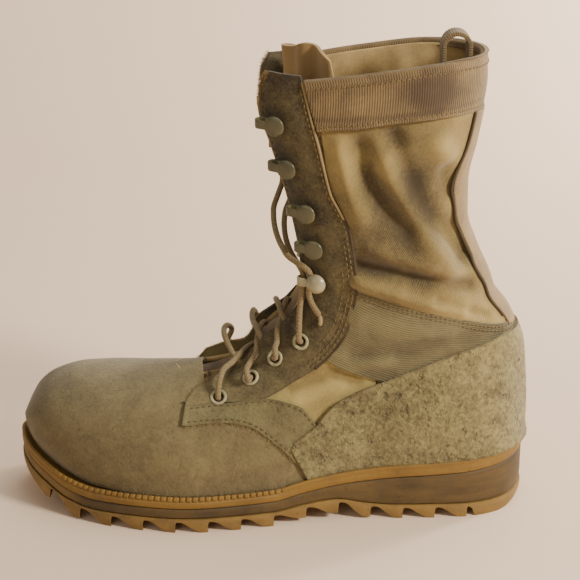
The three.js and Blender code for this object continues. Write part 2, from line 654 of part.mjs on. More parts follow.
let shell = upperShell();
for (const { sign } of SIDES) {
  for (const row of EYELETS) {
    shell = shell.subtract(eyeletRoom().transform(fittingFrame(row, sign).toArray()));
  }
}
addPiece('upper', shell, finish(colours.suede));
addPiece('outsole', outsole(), finish(colours.ochre, 0.75));
addPiece('midsole', midsole(), finish(colours.brown, 0.75));
addPiece('welt', welt(), finish(colours.ochre, 0.75));
addPiece('insole', insole(), finish(colours.canvas));
addPiece('tongue', tongue(), finish(colours.canvas));
addPiece('heel_counter', heelCounter(), finish(colours.suede));
addPiece('collar_band', collarBand(), finish(colours.canvas));
addPiece('pull_loop', pullLoop(), finish(colours.canvas));

SIDES.forEach(({ name, sign }) => {
  EYELETS.forEach((row, i) => {
    const place = fittingFrame(row, sign).toArray();
    addPiece(`eyelet_${name}_${i + 1}`, eyeletSolid().transform(place), finish(colours.enamel, 0.45, 0.6));
  });
  HOOKS.forEach((hook, i) => {
    const place = fittingFrame(hook, sign).toArray();
    const solid = hookSolid(hook.head).transform(place);
    addPiece(`hook_${name}_${i + 1}`, solid, finish(colours.enamel, 0.45, 0.6));
  });
});
for (let i = 0; i < EYELETS.length - 1; i += 1) {
  addPiece(`lace_crossing_${i + 1}`, laceCrossing(EYELETS[i], EYELETS[i + 1]), finish(colours.canvas));
}
addPiece('lace_riser', laceRiser(), finish(colours.canvas));
addPiece('lace_end', cordSolid(laceEndPath(), LACE_RADIUS, 8, 26), finish(colours.canvas));
addPiece('aglet', aglet(), finish(colours.enamel, 0.5));

export default boot;
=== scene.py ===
"""Left desert combat boot: looks, laces and cloth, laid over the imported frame.

Shapes are worked out in millimetres in the boot's own frame: toe towards -X, outer side -Y, +Z up.
"""
import math

import bmesh
import bpy
import numpy as np
from mathutils import Matrix, Vector


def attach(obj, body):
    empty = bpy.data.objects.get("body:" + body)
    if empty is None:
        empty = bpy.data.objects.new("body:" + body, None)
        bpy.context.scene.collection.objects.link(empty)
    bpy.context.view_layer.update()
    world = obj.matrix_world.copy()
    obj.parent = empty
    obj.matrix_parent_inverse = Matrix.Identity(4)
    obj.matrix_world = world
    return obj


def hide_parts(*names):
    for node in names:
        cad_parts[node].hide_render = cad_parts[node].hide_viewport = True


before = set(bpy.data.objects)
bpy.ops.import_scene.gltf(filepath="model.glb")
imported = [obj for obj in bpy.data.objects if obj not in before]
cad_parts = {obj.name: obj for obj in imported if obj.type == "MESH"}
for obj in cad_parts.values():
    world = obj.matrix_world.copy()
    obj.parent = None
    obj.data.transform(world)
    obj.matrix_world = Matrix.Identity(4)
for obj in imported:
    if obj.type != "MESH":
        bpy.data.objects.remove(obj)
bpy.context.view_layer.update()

# ---------------------------------------------------------------- sizes of the boot, in millimetres
MM = 0.001
CENTRE_SHIFT_Y = 4.2
SOLE_LENGTH, BALL_WIDTH, TOE_TIP_Y = 314, 110, 10
# The upper sits inset on the sole, swells out to its widest a little above it, and starts below its top.
SEAT_INSET, SEAT_SWELL, SWELL_HEIGHT, FORM_BOTTOM = 6, 3.5, 14, 14
BLEND = 14                      # how softly foot and shaft run into each other
LACE_RADIUS = 1.75
TOOTH_PITCH, FIRST_TOOTH_X, TOOTH_COUNT = 19.6, -135, 14

# Sole outline from above: share of the length, and reach to each side as a share of the ball width.
SOLE_OUTLINE = [
    (-0.475, 0.127, 0.245), (-0.420, 0.300, 0.373), (-0.344, 0.427, 0.441), (-0.248, 0.509, 0.464),
    (-0.153, 0.541, 0.423), (-0.048, 0.500, 0.350), (0.064, 0.427, 0.314), (0.175, 0.382, 0.318),
    (0.303, 0.373, 0.350), (0.398, 0.345, 0.332), (0.465, 0.236, 0.232),
]
# Sole layers from the side: x, tread tips, tops of outsole, midsole and welt.
SOLE_LAYERS = [
    (-158, 21.5, 25.0, 31.5, 39.5), (-138, 9.5, 17.6, 24.2, 32.0), (-124, 3.2, 11.8, 18.4, 26.5),
    (-105, 0.0, 8.6, 15.3, 23.5), (-50, 0.0, 8.6, 15.3, 23.3), (2, 0.0, 8.6, 15.8, 23.8),
    (20, 3.0, 11.6, 19.5, 27.5), (40, 5.0, 13.6, 23.0, 31.0), (58, 1.6, 10.2, 25.2, 33.4),
    (76, 0.0, 8.6, 27.0, 35.4), (115, 0.0, 8.6, 29.4, 38.2), (158, 0.0, 8.6, 34.0, 43.0),
]
TIPS, OUTSOLE_TOP, MIDSOLE_TOP, WELT_TOP = 1, 2, 3, 4
# Foot form: x, sideways place of its middle line, top, squareness of its section.
FOOT_FORM = [
    (-156, 9, 44, 2.5), (-150, 9, 58, 2.5), (-144, 8, 67.5, 2.5), (-134, 7, 75, 2.4), (-115, 5, 81, 2.3),
    (-73, 1, 84, 1.95), (-41, -1, 88.5, 1.6), (-20, -1, 96, 1.52), (0, 0, 106, 1.55), (18, 0, 115, 1.65),
    (90, 0, 115, 2.0), (140, 0, 98, 2.2), (150, 0, 82, 2.2), (158, 0, 56, 2.2),
]
FOOT_MIDDLE, FOOT_TOP, FOOT_SQUARE = 1, 2, 3
# Shaft form: height, front, back, half-width of its level section.
SHAFT_FORM = [
    (15, 45, 151, 30), (45, 30, 155.5, 31), (60, 5, 156.5, 32.5), (82, -12, 155, 33.5),
    (102, -12, 152.5, 34), (123, 6, 144, 35.5), (136, 13, 134.5, 36), (146, 14, 131, 36.5),
    (162, 13, 123.5, 37), (185, 9, 116, 38), (205, 4, 115.5, 39), (229, -4, 120, 40),
    (247, -11, 123, 40.5), (268, -14, 125.5, 40), (305, -18, 124, 40),
]
SHAFT_FRONT, SHAFT_BACK, SHAFT_HALF = 1, 2, 3
WIDEST_SHARE, FRONT_SQUARE, BACK_SQUARE = 0.55, 2.1, 2.3

# The boot's middle line: fans out over the toe, runs along the foot, turns up the instep, climbs the shaft.
TOE_CENTRE_X, TOE_RUN = -108, 45
TURN_X, TURN_Z, TURN_R = -58, 165, 116
SHAFT_LEAN = -0.12
LEVEL_S = TURN_X + TURN_R * math.pi / 2
TOE_S = TOE_CENTRE_X - TOE_RUN

# Lace holes and hooks from the toe end up: x, z, and how much lower the inner side's one sits.
EYELETS = [(-30.6, 76, 3), (-11.4, 86, 6), (3.4, 98, 4), (18.6, 110, 1.5)]
HOOKS = [(29.2, 148.5, 0), (27.5, 170, 0), (23, 192, 0), (12.4, 218, 0), (5.4, 243.5, 0)]
SIDES = [("outer", -1), ("inner", 1)]


# ---------------------------------------------------------------- the boot's form
def between(rows, column, at):
    """Value of a table's column between its rows: cubic, and never past its neighbours."""
    rows = np.asarray(rows, float)
    xs, ys = rows[:, 0], rows[:, column]
    rise = np.diff(ys) / np.diff(xs)
    tangent = np.concatenate([rise[:1], np.zeros(len(rise) - 1), rise[-1:]])
    same = rise[:-1] * rise[1:] > 0
    mean = 2 * rise[:-1] * rise[1:] / np.where(same, rise[:-1] + rise[1:], 1)
    tangent[1:-1] = np.where(same, mean, 0)
    at = np.clip(at, xs[0], xs[-1])
    i = np.clip(np.searchsorted(xs, at) - 1, 0, len(rise) - 1)
    step = xs[i + 1] - xs[i]
    t = (at - xs[i]) / step
    a, b, p, q = ys[i], ys[i + 1], tangent[i] * step, tangent[i + 1] * step
    return a + t * (p + t * (3 * (b - a) - 2 * p - q + t * (2 * (a - b) + p + q)))


def plan_outline(inset, per=24):
    """Closed outline of the sole seen from above, drawn in from its edge."""
    half = SOLE_LENGTH / 2
    corners = [(-half, TOE_TIP_Y)]
    corners += [(a * SOLE_LENGTH, -o * BALL_WIDTH) for a, o, _ in SOLE_OUTLINE]
    corners += [(half, 0)]
    corners += [(a * SOLE_LENGTH, i * BALL_WIDTH) for a, _, i in reversed(SOLE_OUTLINE)]
    p = np.array(corners)
    t = np.linspace(0, 1, per, endpoint=False)[None, :, None]
    start, end = p[:, None], np.roll(p, -1, 0)[:, None]
    leave = (np.roll(p, -1, 0) - np.roll(p, 1, 0))[:, None] / 2
    arrive = (np.roll(p, -2, 0) - p)[:, None] / 2
    c2, c3 = 3 * (end - start) - 2 * leave - arrive, 2 * (start - end) + leave + arrive
    points = (start + t * (leave + t * (c2 + t * c3))).reshape(-1, 2)
    along = (leave + t * (2 * c2 + t * 3 * c3)).reshape(-1, 2)
    along /= np.linalg.norm(along, axis=1)[:, None]
    return points + inset * np.stack([-along[:, 1], along[:, 0]], 1)


FORM_OUTLINE = plan_outline(SEAT_INSET - SEAT_SWELL)
OUTLINE_STEP = np.roll(FORM_OUTLINE[:, 0], -1) - FORM_OUTLINE[:, 0]
FORM_ENDS = FORM_OUTLINE[:, 0].min(), FORM_OUTLINE[:, 0].max()


def form_edge(x, side):
    """Sideways place of the form's outline at x, on one side."""
    def reach(mask):
        line = FORM_OUTLINE[mask]
        line = line[np.argsort(line[:, 0])]
        return np.interp(x, line[:, 0], line[:, 1])
    return np.where(side < 0, reach(OUTLINE_STEP > 0), reach(OUTLINE_STEP < 0))


def ridge_y(x):
    return between(FOOT_FORM, FOOT_MIDDLE, x)


def welt_top(x):
    return between(SOLE_LAYERS, WELT_TOP, x)


def foot_half(x, z, side):
    """Half-width of the foot at a place of its side view."""
    wide = (form_edge(x, side) - ridge_y(x)) * side
    widest = welt_top(x) + SWELL_HEIGHT
    down = np.clip((widest - z) / SWELL_HEIGHT, 0, 1)
    top = between(FOOT_FORM, FOOT_TOP, x)
    height = (z - widest) / np.maximum(top - widest, 1)
    square = between(FOOT_FORM, FOOT_SQUARE, x)
    above = wide * np.clip(1 - np.clip(height, 0, 1) ** square, 0, 1) ** (1 / square)
    half = np.where(z < widest, wide - SEAT_SWELL * down ** 2, above)
    outside = (z >= top) | (x <= FORM_ENDS[0]) | (x >= FORM_ENDS[1])
    return np.where(outside, -1, half)


def shaft_half(x, z):
    """Half-width of the shaft at a place of its side view."""
    front, back, half = (between(SHAFT_FORM, k, z) for k in (SHAFT_FRONT, SHAFT_BACK, SHAFT_HALF))
    widest = front + WIDEST_SHARE * (back - front)
    ahead = x < widest
    reach = np.where(ahead, (widest - x) / (widest - front), (x - widest) / (back - widest))
    square = np.where(ahead, FRONT_SQUARE, BACK_SQUARE)
    inside = np.clip(1 - np.clip(reach, 0, 1) ** square, 0, 1)
    return np.where(reach >= 1, -1, half * inside ** (1 / square))


def boot_half(x, z, side):
    """Half-width of the whole boot: foot and shaft, softly joined."""
    foot, shaft = foot_half(x, z, side), shaft_half(x, z)
    low, high = np.minimum(foot, shaft), np.maximum(foot, shaft)
    near = np.clip(1 - (high - low) / BLEND, 0, 1)
    soft = high + near ** 2 * (BLEND / 4) * np.clip(low / BLEND, 0, 1)
    return np.where(low <= 0, high, soft)


def inside_form(x, y, z):
    """Whether places are inside the boot's form."""
    across = y - ridge_y(x)
    side = np.where(across < 0, -1, 1)
    return (z >= welt_top(x) - FORM_BOTTOM) & (np.abs(across) < boot_half(x, z, side))


def reach_of(start, direction, limit=175.0, halvings=19):
    """How far from inside points along rays the skin is."""
    near, far = np.zeros(start.shape[:-1]), np.full(start.shape[:-1], limit)
    for _ in range(halvings):
        middle = (near + far) / 2
        probe = start + direction * middle[..., None]
        inside = inside_form(probe[..., 0], probe[..., 1], probe[..., 2])
        near, far = np.where(inside, middle, near), np.where(inside, far, middle)
    return near


def section_rays(s, w):
    """Middle points and directions of the section planes at s along the boot, w degrees round it.

    w is 0 at the front or top, 90 on the outer side, 180 at the back or sole and 270 on the inner side.
    """
    s, a = np.broadcast_arrays(np.asarray(s, float), -np.radians(np.asarray(w, float)))
    turn = np.clip((s - TURN_X) / TURN_R, 0, math.pi / 2)
    level = np.clip(s - LEVEL_S, 0, None)
    fan = np.radians(90) * np.clip(1 - (TOE_CENTRE_X - s) / TOE_RUN, 0, 1)
    spread = np.where(s < TOE_CENTRE_X, np.sin(fan), 1)
    forward = np.where(s < TOE_CENTRE_X, -np.cos(fan), 0)
    turned_x = TURN_X + np.sin(turn) * TURN_R
    x = np.where(s < TURN_X, np.clip(s, TOE_CENTRE_X, None), turned_x) + SHAFT_LEAN * level
    z = TURN_Z - np.cos(turn) * TURN_R + level
    start = np.stack([x, ridge_y(x), z], -1)
    direction = np.stack([forward - spread * np.sin(turn) * np.cos(a), spread * np.sin(a),
                          spread * np.cos(turn) * np.cos(a)], -1)
    return start, direction


def skin_rays(s, w):
    """Skin points at s and w, with the starts and directions of the rays that found them."""
    start, direction = section_rays(s, w)
    return start + direction * reach_of(start, direction)[..., None], start, direction


def skin(s, w):
    return skin_rays(s, w)[0]


def chart(x, z, side):
    """Place (s, w) on the skin of a point given in the side view."""
    x, z = np.broadcast_arrays(np.asarray(x, float), np.asarray(z, float))
    half = np.maximum(boot_half(x, z, np.full(x.shape, side)), 0)
    turn = np.clip(np.arctan2(x - TURN_X, TURN_Z - z), 0, math.pi / 2)
    level = np.clip(z - TURN_Z, 0, None)
    s = np.where(x < TURN_X, x, TURN_X + TURN_R * turn)
    s = np.where(level > 0, LEVEL_S + level, s)
    up = np.where(x < TURN_X, z - (TURN_Z - TURN_R), TURN_R - np.hypot(x - TURN_X, z - TURN_Z))
    up = np.where(level > 0, TURN_X + TURN_R + SHAFT_LEAN * level - x, up)
    w = np.degrees(np.arctan2(-side * half, up))
    return s, np.where(w < 0, w + 360, w)


def w_where(s, test, low, high, halvings=14):
    """Place round each section at which test(points) stops being true, going from low to high."""
    s = np.asarray(s, float)
    near, far = np.full(s.shape, float(low)), np.full(s.shape, float(high))
    for _ in range(halvings):
        middle = (near + far) / 2
        holds = test(skin(s, middle))
        near, far = np.where(holds, middle, near), np.where(holds, far, middle)
    return near


def reach_test(wide):
    """Test for skin points that are less than a distance from the boot's middle line."""
    return lambda points: np.abs(points[..., 1] - ridge_y(points[..., 0])) < wide


def run_along(points):
    """Distance from the first of a row of points to each of them."""
    return np.concatenate([[0], np.cumsum(np.linalg.norm(np.diff(points, axis=0), axis=1))])


# ---------------------------------------------------------------- making meshes
def metres(points):
    return (np.asarray(points, float) + (0, CENTRE_SHIFT_Y, 0)) * MM


def set_points(mesh, points):
    mesh.vertices.foreach_set("co", metres(points).astype(np.float32).ravel())
    mesh.update()


def points_of(mesh):
    found = np.empty(len(mesh.vertices) * 3, np.float32)
    mesh.vertices.foreach_get("co", found)
    return found.reshape(-1, 3).astype(float)


def new_object(name, mesh, material, replaced=()):
    piece = bpy.data.objects.new(name, mesh)
    bpy.context.scene.collection.objects.link(piece)
    mesh.materials.clear()
    mesh.materials.append(material)
    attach(piece, "root")
    if replaced:
        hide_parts(*replaced)
    return piece


def mesh_from(bm, name):
    mesh = bpy.data.meshes.new(name)
    bm.to_mesh(mesh)
    bm.free()
    mesh.shade_smooth()
    return mesh


def grid_lengths(points, axis):
    """Distance along one direction of a grid, from its middle."""
    steps = np.linalg.norm(np.diff(points, axis=axis), axis=-1)
    shape = list(points.shape[:2])
    shape[axis] = 1
    total = np.concatenate([np.zeros(shape), np.cumsum(steps, axis)], axis)
    middle = np.take(total, [total.shape[axis] // 2], axis)
    return total - middle


def grid_mesh(name, across, along, shape, outward=None, weld=False, tone=None, real="0123"):
    """A grid of faces laid on shape(u, v), which takes and gives arrays; u and v run from 0 to 1.

    Its UV map "cloth" is in millimetres over the surface; its attribute "rim" is the distance from its
    real edges (0 and 1 where u starts and ends, 2 and 3 where v does), and "tone" how light (+) or dark (-)
    it is painted.
    """
    u, v = np.meshgrid(np.linspace(0, 1, across + 1), np.linspace(0, 1, along + 1), indexing="ij")
    points = shape(u, v)
    bm = bmesh.new()
    bmesh.ops.create_grid(bm, x_segments=across, y_segments=along, size=0.5)
    mesh = mesh_from(bm, name)
    flat = points_of(mesh)
    i = np.rint((flat[:, 0] + 0.5) * across).astype(int)
    j = np.rint((flat[:, 1] + 0.5) * along).astype(int)
    set_points(mesh, points[i, j])
    length_u, length_v = grid_lengths(points, 0), grid_lengths(points, 1)
    uv = np.stack([length_u[i, j], length_v[i, j]], 1)
    corner = np.empty(len(mesh.loops), np.int32)
    mesh.loops.foreach_get("vertex_index", corner)
    layer = mesh.uv_layers.new(name="cloth")
    layer.data.foreach_set("uv", uv[corner].astype(np.float32).ravel())
    edges = [length_u - length_u[:1], length_u[-1:] - length_u, length_v - length_v[:, :1],
             length_v[:, -1:] - length_v]
    rim = np.full(points.shape[:2], 50.0)
    for k in real:
        rim = np.minimum(rim, edges[int(k)])
    rim = rim[i, j]
    mesh.attributes.new("rim", "FLOAT", "POINT").data.foreach_set("value", rim.astype(np.float32))
    painted = tone(points[i, j]) if tone else np.zeros(len(i))
    mesh.attributes.new("tone", "FLOAT", "POINT").data.foreach_set("value", painted.astype(np.float32))
    if outward is not None:
        face_out(mesh, outward)
    if weld:
        bm = bmesh.new()
        bm.from_mesh(mesh)
        bmesh.ops.remove_doubles(bm, verts=bm.verts, dist=0.02 * MM)
        bmesh.ops.dissolve_degenerate(bm, dist=0.005 * MM, edges=bm.edges)
        bm.to_mesh(mesh)
        bm.free()
    return mesh


def face_out(mesh, centre_of):
    """Turns a sheet so that its faces look away from the boot's inside."""
    count = len(mesh.polygons)
    normal, centre = np.empty(count * 3), np.empty(count * 3)
    mesh.polygons.foreach_get("normal", normal)
    mesh.polygons.foreach_get("center", centre)
    centre = centre.reshape(-1, 3) / MM - (0, CENTRE_SHIFT_Y, 0)
    if np.sum(normal.reshape(-1, 3) * (centre - centre_of(centre))) < 0:
        mesh.flip_normals()


def boot_middle(points):
    """A point inside the boot, level with each point given."""
    x, z = points[:, 0], points[:, 2]
    middle = np.stack([np.clip(x, -140, 60), ridge_y(x), np.full(len(x), 50.0)], 1)
    high = z > 110
    middle[high, 0] = 62
    middle[high, 2] = z[high]
    return middle


def grid_normals(points, start):
    """Outward directions of a grid of skin points whose rays left from start."""
    normal = np.cross(np.gradient(points, axis=0), np.gradient(points, axis=1))
    normal /= np.maximum(np.linalg.norm(normal, axis=-1, keepdims=True), 1e-9)
    sign = np.sign(np.sum(normal * (points - start), -1, keepdims=True))
    return normal * np.where(sign == 0, 1, sign)


def lifted(s, w, lift):
    """Skin points moved out along the skin's own direction by lift(points)."""
    points, start, direction = skin_rays(s, w)
    near_pole = (1 - smoothstep(TOE_S + 1, TOE_S + 6, s))[..., None]
    normal = grid_normals(points, start) * (1 - near_pole) + direction * near_pole
    return points + normal * lift(points)[..., None]


def thicken(piece, thickness):
    """Gives a sheet its thickness, inwards from its outer face."""
    shell = piece.modifiers.new("thickness", "SOLIDIFY")
    shell.thickness = thickness * MM
    shell.offset = -1
    return piece


def soften(piece, width, angle=50):
    """Rounds the edges that are sharper than an angle."""
    bevel = piece.modifiers.new("soft edges", "BEVEL")
    bevel.width = width * MM
    bevel.segments = 2
    bevel.limit_method = "ANGLE"
    bevel.angle_limit = math.radians(angle)
    return piece


def smoothstep(low, high, x):
    t = np.clip((x - low) / (high - low), 0, 1)
    return t * t * (3 - 2 * t)


def table_rail(run, s, w):
    """A rail through places (s, w) on the skin, run apart: a function of 0..1 along it."""
    rows = np.stack([run / run[-1], s, w], 1)
    return lambda t: (between(rows, 1, t), between(rows, 2, t))


def side_rail(places, side):
    """Rail on one side of the boot through side-view places (x, z)."""
    places = np.asarray(places, float)
    s, w = chart(places[:, 0], places[:, 1], side)
    return table_rail(run_along(places), s, w)


# ---------------------------------------------------------------- materials
class Nodes:
    """Adds nodes to a tree. An input is a number, a colour or another node's output."""

    def __init__(self, tree):
        self.tree = tree

    def add(self, kind, inputs=None, out=0, **settings):
        node = self.tree.nodes.new("ShaderNode" + kind)
        for key, value in settings.items():
            setattr(node, key, value)
        for key, value in (inputs or {}).items():
            self.feed(node.inputs[key], value)
        return node.outputs[out]

    def feed(self, socket, value):
        if isinstance(value, bpy.types.NodeSocket):
            self.tree.links.new(value, socket)
        elif isinstance(value, tuple) and len(value) == 3 and socket.type == "RGBA":
            socket.default_value = (*value, 1)
        else:
            socket.default_value = value

    def math(self, operation, a, b=0.0, clamp=False):
        return self.add("Math", {0: a, 1: b}, operation=operation, use_clamp=clamp)

    def scaled(self, a, gain, shift=0.0, clamp=False):
        return self.add("Math", {0: a, 1: gain, 2: shift}, operation="MULTIPLY_ADD", use_clamp=clamp)

    def mix(self, a, b, share, blend="MIX"):
        return self.add("Mix", {0: share, 6: a, 7: b}, out=2, data_type="RGBA", blend_type=blend)

    def noise(self, vector, scale, detail=3.0, rough=0.55, spread=0.0):
        settings = {"Vector": vector, "Scale": scale, "Detail": detail, "Roughness": rough,
                    "Distortion": spread}
        return self.add("TexNoise", settings)

    def bands(self, vector, period, direction="X", wobble=0.0, wobble_scale=1.0):
        settings = {"Vector": vector, "Scale": 0.314159 / period, "Distortion": wobble,
                    "Detail": 1.0, "Detail Scale": wobble_scale}
        return self.add("TexWave", settings, out="Fac", wave_type="BANDS", bands_direction=direction)

    def step(self, value, low, high):
        return self.add("MapRange", {"Value": value, "From Min": low, "From Max": high},
                        interpolation_type="SMOOTHSTEP")


def colour(red, green, blue):
    """Linear colour from the usual 0 to 255 steps."""
    def linear(c):
        c /= 255
        return c / 12.92 if c <= 0.04045 else ((c + 0.055) / 1.055) ** 2.4
    return linear(red), linear(green), linear(blue)


def node_group(name, inputs, outputs, build):
    """A shader group: inputs are (name, kind, value), outputs (name, kind)."""
    tree = bpy.data.node_groups.new(name, "ShaderNodeTree")
    for label, kind, value in inputs:
        socket = tree.interface.new_socket(label, in_out="INPUT", socket_type="NodeSocket" + kind)
        if value is not None:
            socket.default_value = (*value, 1) if kind == "Color" else value
    for label, kind in outputs:
        tree.interface.new_socket(label, in_out="OUTPUT", socket_type="NodeSocket" + kind)
    entry, leave = tree.nodes.new("NodeGroupInput"), tree.nodes.new("NodeGroupOutput")
    made = build(Nodes(tree), entry.outputs)
    for label, _ in outputs:
        tree.links.new(made[label], leave.inputs[label])
    return tree


def build_nap(n, given):
    """Suede: broad patches, brushed streaks and short stiff fibres."""
    place = given["Place"]
    broad = n.noise(place, 34.0, 3.0, 0.6, 0.6)
    patch = n.noise(place, 120.0, 3.0, 0.6, 0.4)
    fibre = n.noise(place, n.math("MULTIPLY", given["Fineness"], 620.0), 4.0, 0.7, 0.3)
    pit = n.noise(place, n.math("MULTIPLY", given["Fineness"], 300.0), 2.0, 0.5, 0.0)
    amount = n.scaled(broad, 1.0, 0.0)
    amount = n.math("ADD", amount, n.scaled(patch, 0.7, -0.35))
    amount = n.math("ADD", amount, n.math("MULTIPLY", n.scaled(fibre, 3.0, -1.5), given["Grain"]))
    amount = n.math("ADD", amount, given["Tone"], True)
    tint = n.mix(given["Dark"], given["Light"], amount)
    hole = n.math("MULTIPLY", n.step(pit, 0.40, 0.27), given["Grain"], True)
    tint = n.mix(tint, given["Dark"], n.math("MULTIPLY", hole, 0.8))
    height = n.math("SUBTRACT", n.math("ADD", fibre, n.scaled(patch, 0.5)), hole)
    return {"Color": tint, "Height": height}


def build_weave(n, given):
    """Close twill: fine diagonal ridges crossed by threads, and faint slubs."""
    cloth = given["Cloth"]
    twill = n.bands(cloth, 0.72, "DIAGONAL", 0.4, 2.0)
    weft = n.bands(cloth, 0.43, "Y", 0.4, 2.0)
    slub = n.noise(cloth, 0.55, 4.0, 0.65)
    broad = n.noise(cloth, 0.035, 3.0, 0.55, 0.6)
    amount = n.math("ADD", n.scaled(broad, 1.1, -0.05), n.scaled(slub, 0.7, -0.35))
    amount = n.math("ADD", amount, n.scaled(twill, 0.22, -0.11))
    amount = n.math("ADD", amount, given["Tone"], True)
    tint = n.mix(given["Dark"], given["Light"], amount)
    height = n.math("ADD", n.scaled(twill, 0.7), n.math("ADD", n.scaled(weft, 0.3), n.scaled(slub, 0.5)))
    return {"Color": tint, "Height": height}


def build_ribs(n, given):
    """Webbing: round ribs side by side, each a row of small crossing threads."""
    cloth = n.add("Mapping", {"Vector": given["Cloth"], "Rotation": given["Turn"]})
    rib = n.bands(cloth, 1.45, "X", 0.25, 0.6)
    thread = n.bands(cloth, 0.6, "Y", 0.6, 1.5)
    broad = n.noise(given["Cloth"], 0.06, 3.0, 0.6, 0.4)
    worn = n.noise(given["Cloth"], 0.5, 3.0, 0.6)
    amount = n.math("ADD", n.scaled(broad, 1.2, -0.1), n.scaled(worn, 0.5, -0.25))
    amount = n.math("ADD", amount, n.scaled(rib, 0.42, -0.21))
    amount = n.math("ADD", amount, given["Tone"], True)
    tint = n.mix(given["Dark"], given["Light"], amount)
    height = n.math("ADD", rib, n.math("ADD", n.scaled(thread, 0.25), n.scaled(worn, 0.3)))
    return {"Color": tint, "Height": height}


def build_rubber(n, given):
    """Moulded rubber, rubbed and dirtied."""
    place = given["Place"]
    broad = n.noise(place, 26.0, 4.0, 0.6, 0.5)
    fine = n.noise(place, 420.0, 3.0, 0.6)
    stretched = n.add("Mapping", {"Vector": place, "Scale": (24.0, 24.0, 260.0)})
    scrape = n.noise(stretched, 1.0, 4.0, 0.7, 0.2)
    amount = n.math("ADD", n.scaled(broad, 1.3, -0.15), n.scaled(scrape, 0.9, -0.45))
    amount = n.math("ADD", amount, n.scaled(fine, 0.35, -0.175))
    amount = n.math("ADD", amount, given["Tone"], True)
    tint = n.mix(given["Dark"], given["Light"], amount)
    speck = n.step(n.noise(place, 230.0, 2.0, 0.5), 0.66, 0.72)
    tint = n.mix(tint, given["Dark"], n.math("MULTIPLY", speck, 0.55))
    return {"Color": tint, "Height": n.math("ADD", fine, n.scaled(scrape, 0.8))}


def build_soil(n, given):
    """Dust and grime: a colour laid on by patches, more towards the floor."""
    spot = n.noise(given["Place"], given["Scale"], 5.0, 0.65, 0.4)
    height = n.add("SeparateXYZ", {"Vector": given["Place"]}, out="Z")
    low = n.step(height, 0.06, 0.0)
    amount = n.math("MULTIPLY", n.step(spot, 0.50, 0.72), given["Amount"])
    amount = n.math("ADD", amount, n.math("MULTIPLY", low, given["Low"]), True)
    return {"Color": n.mix(given["Color"], given["Soil"], amount)}


SURFACE_OUT = [("Color", "Color"), ("Height", "Float")]
SHADES_IN = [("Dark", "Color", (0.1, 0.1, 0.1)), ("Light", "Color", (0.5, 0.5, 0.5)), ("Tone", "Float", 0.0)]
GROUPS = {
    "nap": node_group("nap", [("Place", "Vector", None), ("Fineness", "Float", 1.0), ("Grain", "Float", 0.3),
                              *SHADES_IN], SURFACE_OUT, build_nap),
    "weave": node_group("weave", [("Cloth", "Vector", None), *SHADES_IN], SURFACE_OUT, build_weave),
    "ribs": node_group("ribs", [("Cloth", "Vector", None), ("Turn", "Vector", (0.0, 0.0, 0.0)), *SHADES_IN],
                       SURFACE_OUT, build_ribs),
    "rubber": node_group("rubber", [("Place", "Vector", None), *SHADES_IN], SURFACE_OUT, build_rubber),
    "soil": node_group("soil", [("Place", "Vector", None), ("Color", "Color", (0.5, 0.5, 0.5)),
                                ("Soil", "Color", colour(96, 78, 52)), ("Scale", "Float", 60.0),
                                ("Amount", "Float", 0.3), ("Low", "Float", 0.0)],
                       [("Color", "Color")], build_soil),
}


def use(n, name, **inputs):
    node = n.tree.nodes.new("ShaderNodeGroup")
    node.node_tree = GROUPS[name]
    for key, value in inputs.items():
        n.feed(node.inputs[key], value)
    return node.outputs


def material(name, build, roughness=0.9, relief=0.3, depth=0.0004, sheen=0.0, coat=0.0):
    """A material whose build gives a colour, a height and perhaps a roughness."""
    made = bpy.data.materials.new(name)
    made.use_nodes = True
    n = Nodes(made.node_tree)
    shader = made.node_tree.nodes["Principled BSDF"]
    parts = build(n)
    n.feed(shader.inputs["Base Color"], parts["Color"])
    n.feed(shader.inputs["Roughness"], parts.get("Roughness", roughness))
    shader.inputs["Sheen Weight"].default_value = sheen
    shader.inputs["Sheen Roughness"].default_value = 0.6
    shader.inputs["Coat Weight"].default_value = coat
    if "Height" in parts:
        bump = n.add("Bump", {"Height": parts["Height"], "Strength": relief, "Distance": depth}, out="Normal")
        n.feed(shader.inputs["Normal"], bump)
    return made


def object_place(n):
    """Place on the boot, in metres."""
    return n.add("TexCoord", out="Object")


def cloth_place(n):
    """Place on the cloth, in millimetres along it."""
    return n.add("UVMap", uv_map="cloth")


def painted(n, name="tone"):
    """A value painted on the mesh."""
    return n.add("Attribute", attribute_name=name, out="Fac")


def suede(name, dark, light, grain, fineness=1.0, relief=0.5, soil=0.35):
    """Brushed hide, with painted shade and dirt along its cut edges."""
    def build(n):
        place = object_place(n)
        nap = use(n, "nap", Place=place, Fineness=fineness, Grain=grain, Dark=dark, Light=light,
                  Tone=painted(n))
        # Painted shade and dirt near the panel's edges: the nap is darkened there.
        edge = n.step(painted(n, "rim"), 1.6, 0.0)
        tint = n.mix(nap["Color"], dark, n.math("MULTIPLY", edge, 0.35))
        soiled = use(n, "soil", Place=place, Color=tint, Scale=70.0, Amount=soil)
        return {"Color": soiled["Color"], "Height": nap["Height"]}
    return material(name, build, roughness=0.95, relief=relief, depth=0.0006 + 0.0011 * grain, sheen=0.14)


def canvas(name, dark, light):
    def build(n):
        weave = use(n, "weave", Cloth=cloth_place(n), Dark=dark, Light=light, Tone=painted(n))
        soiled = use(n, "soil", Place=object_place(n), Color=weave["Color"], Scale=48.0)
        return {"Color": soiled["Color"], "Height": weave["Height"]}
    return material(name, build, relief=0.35, depth=0.00025, sheen=0.15)


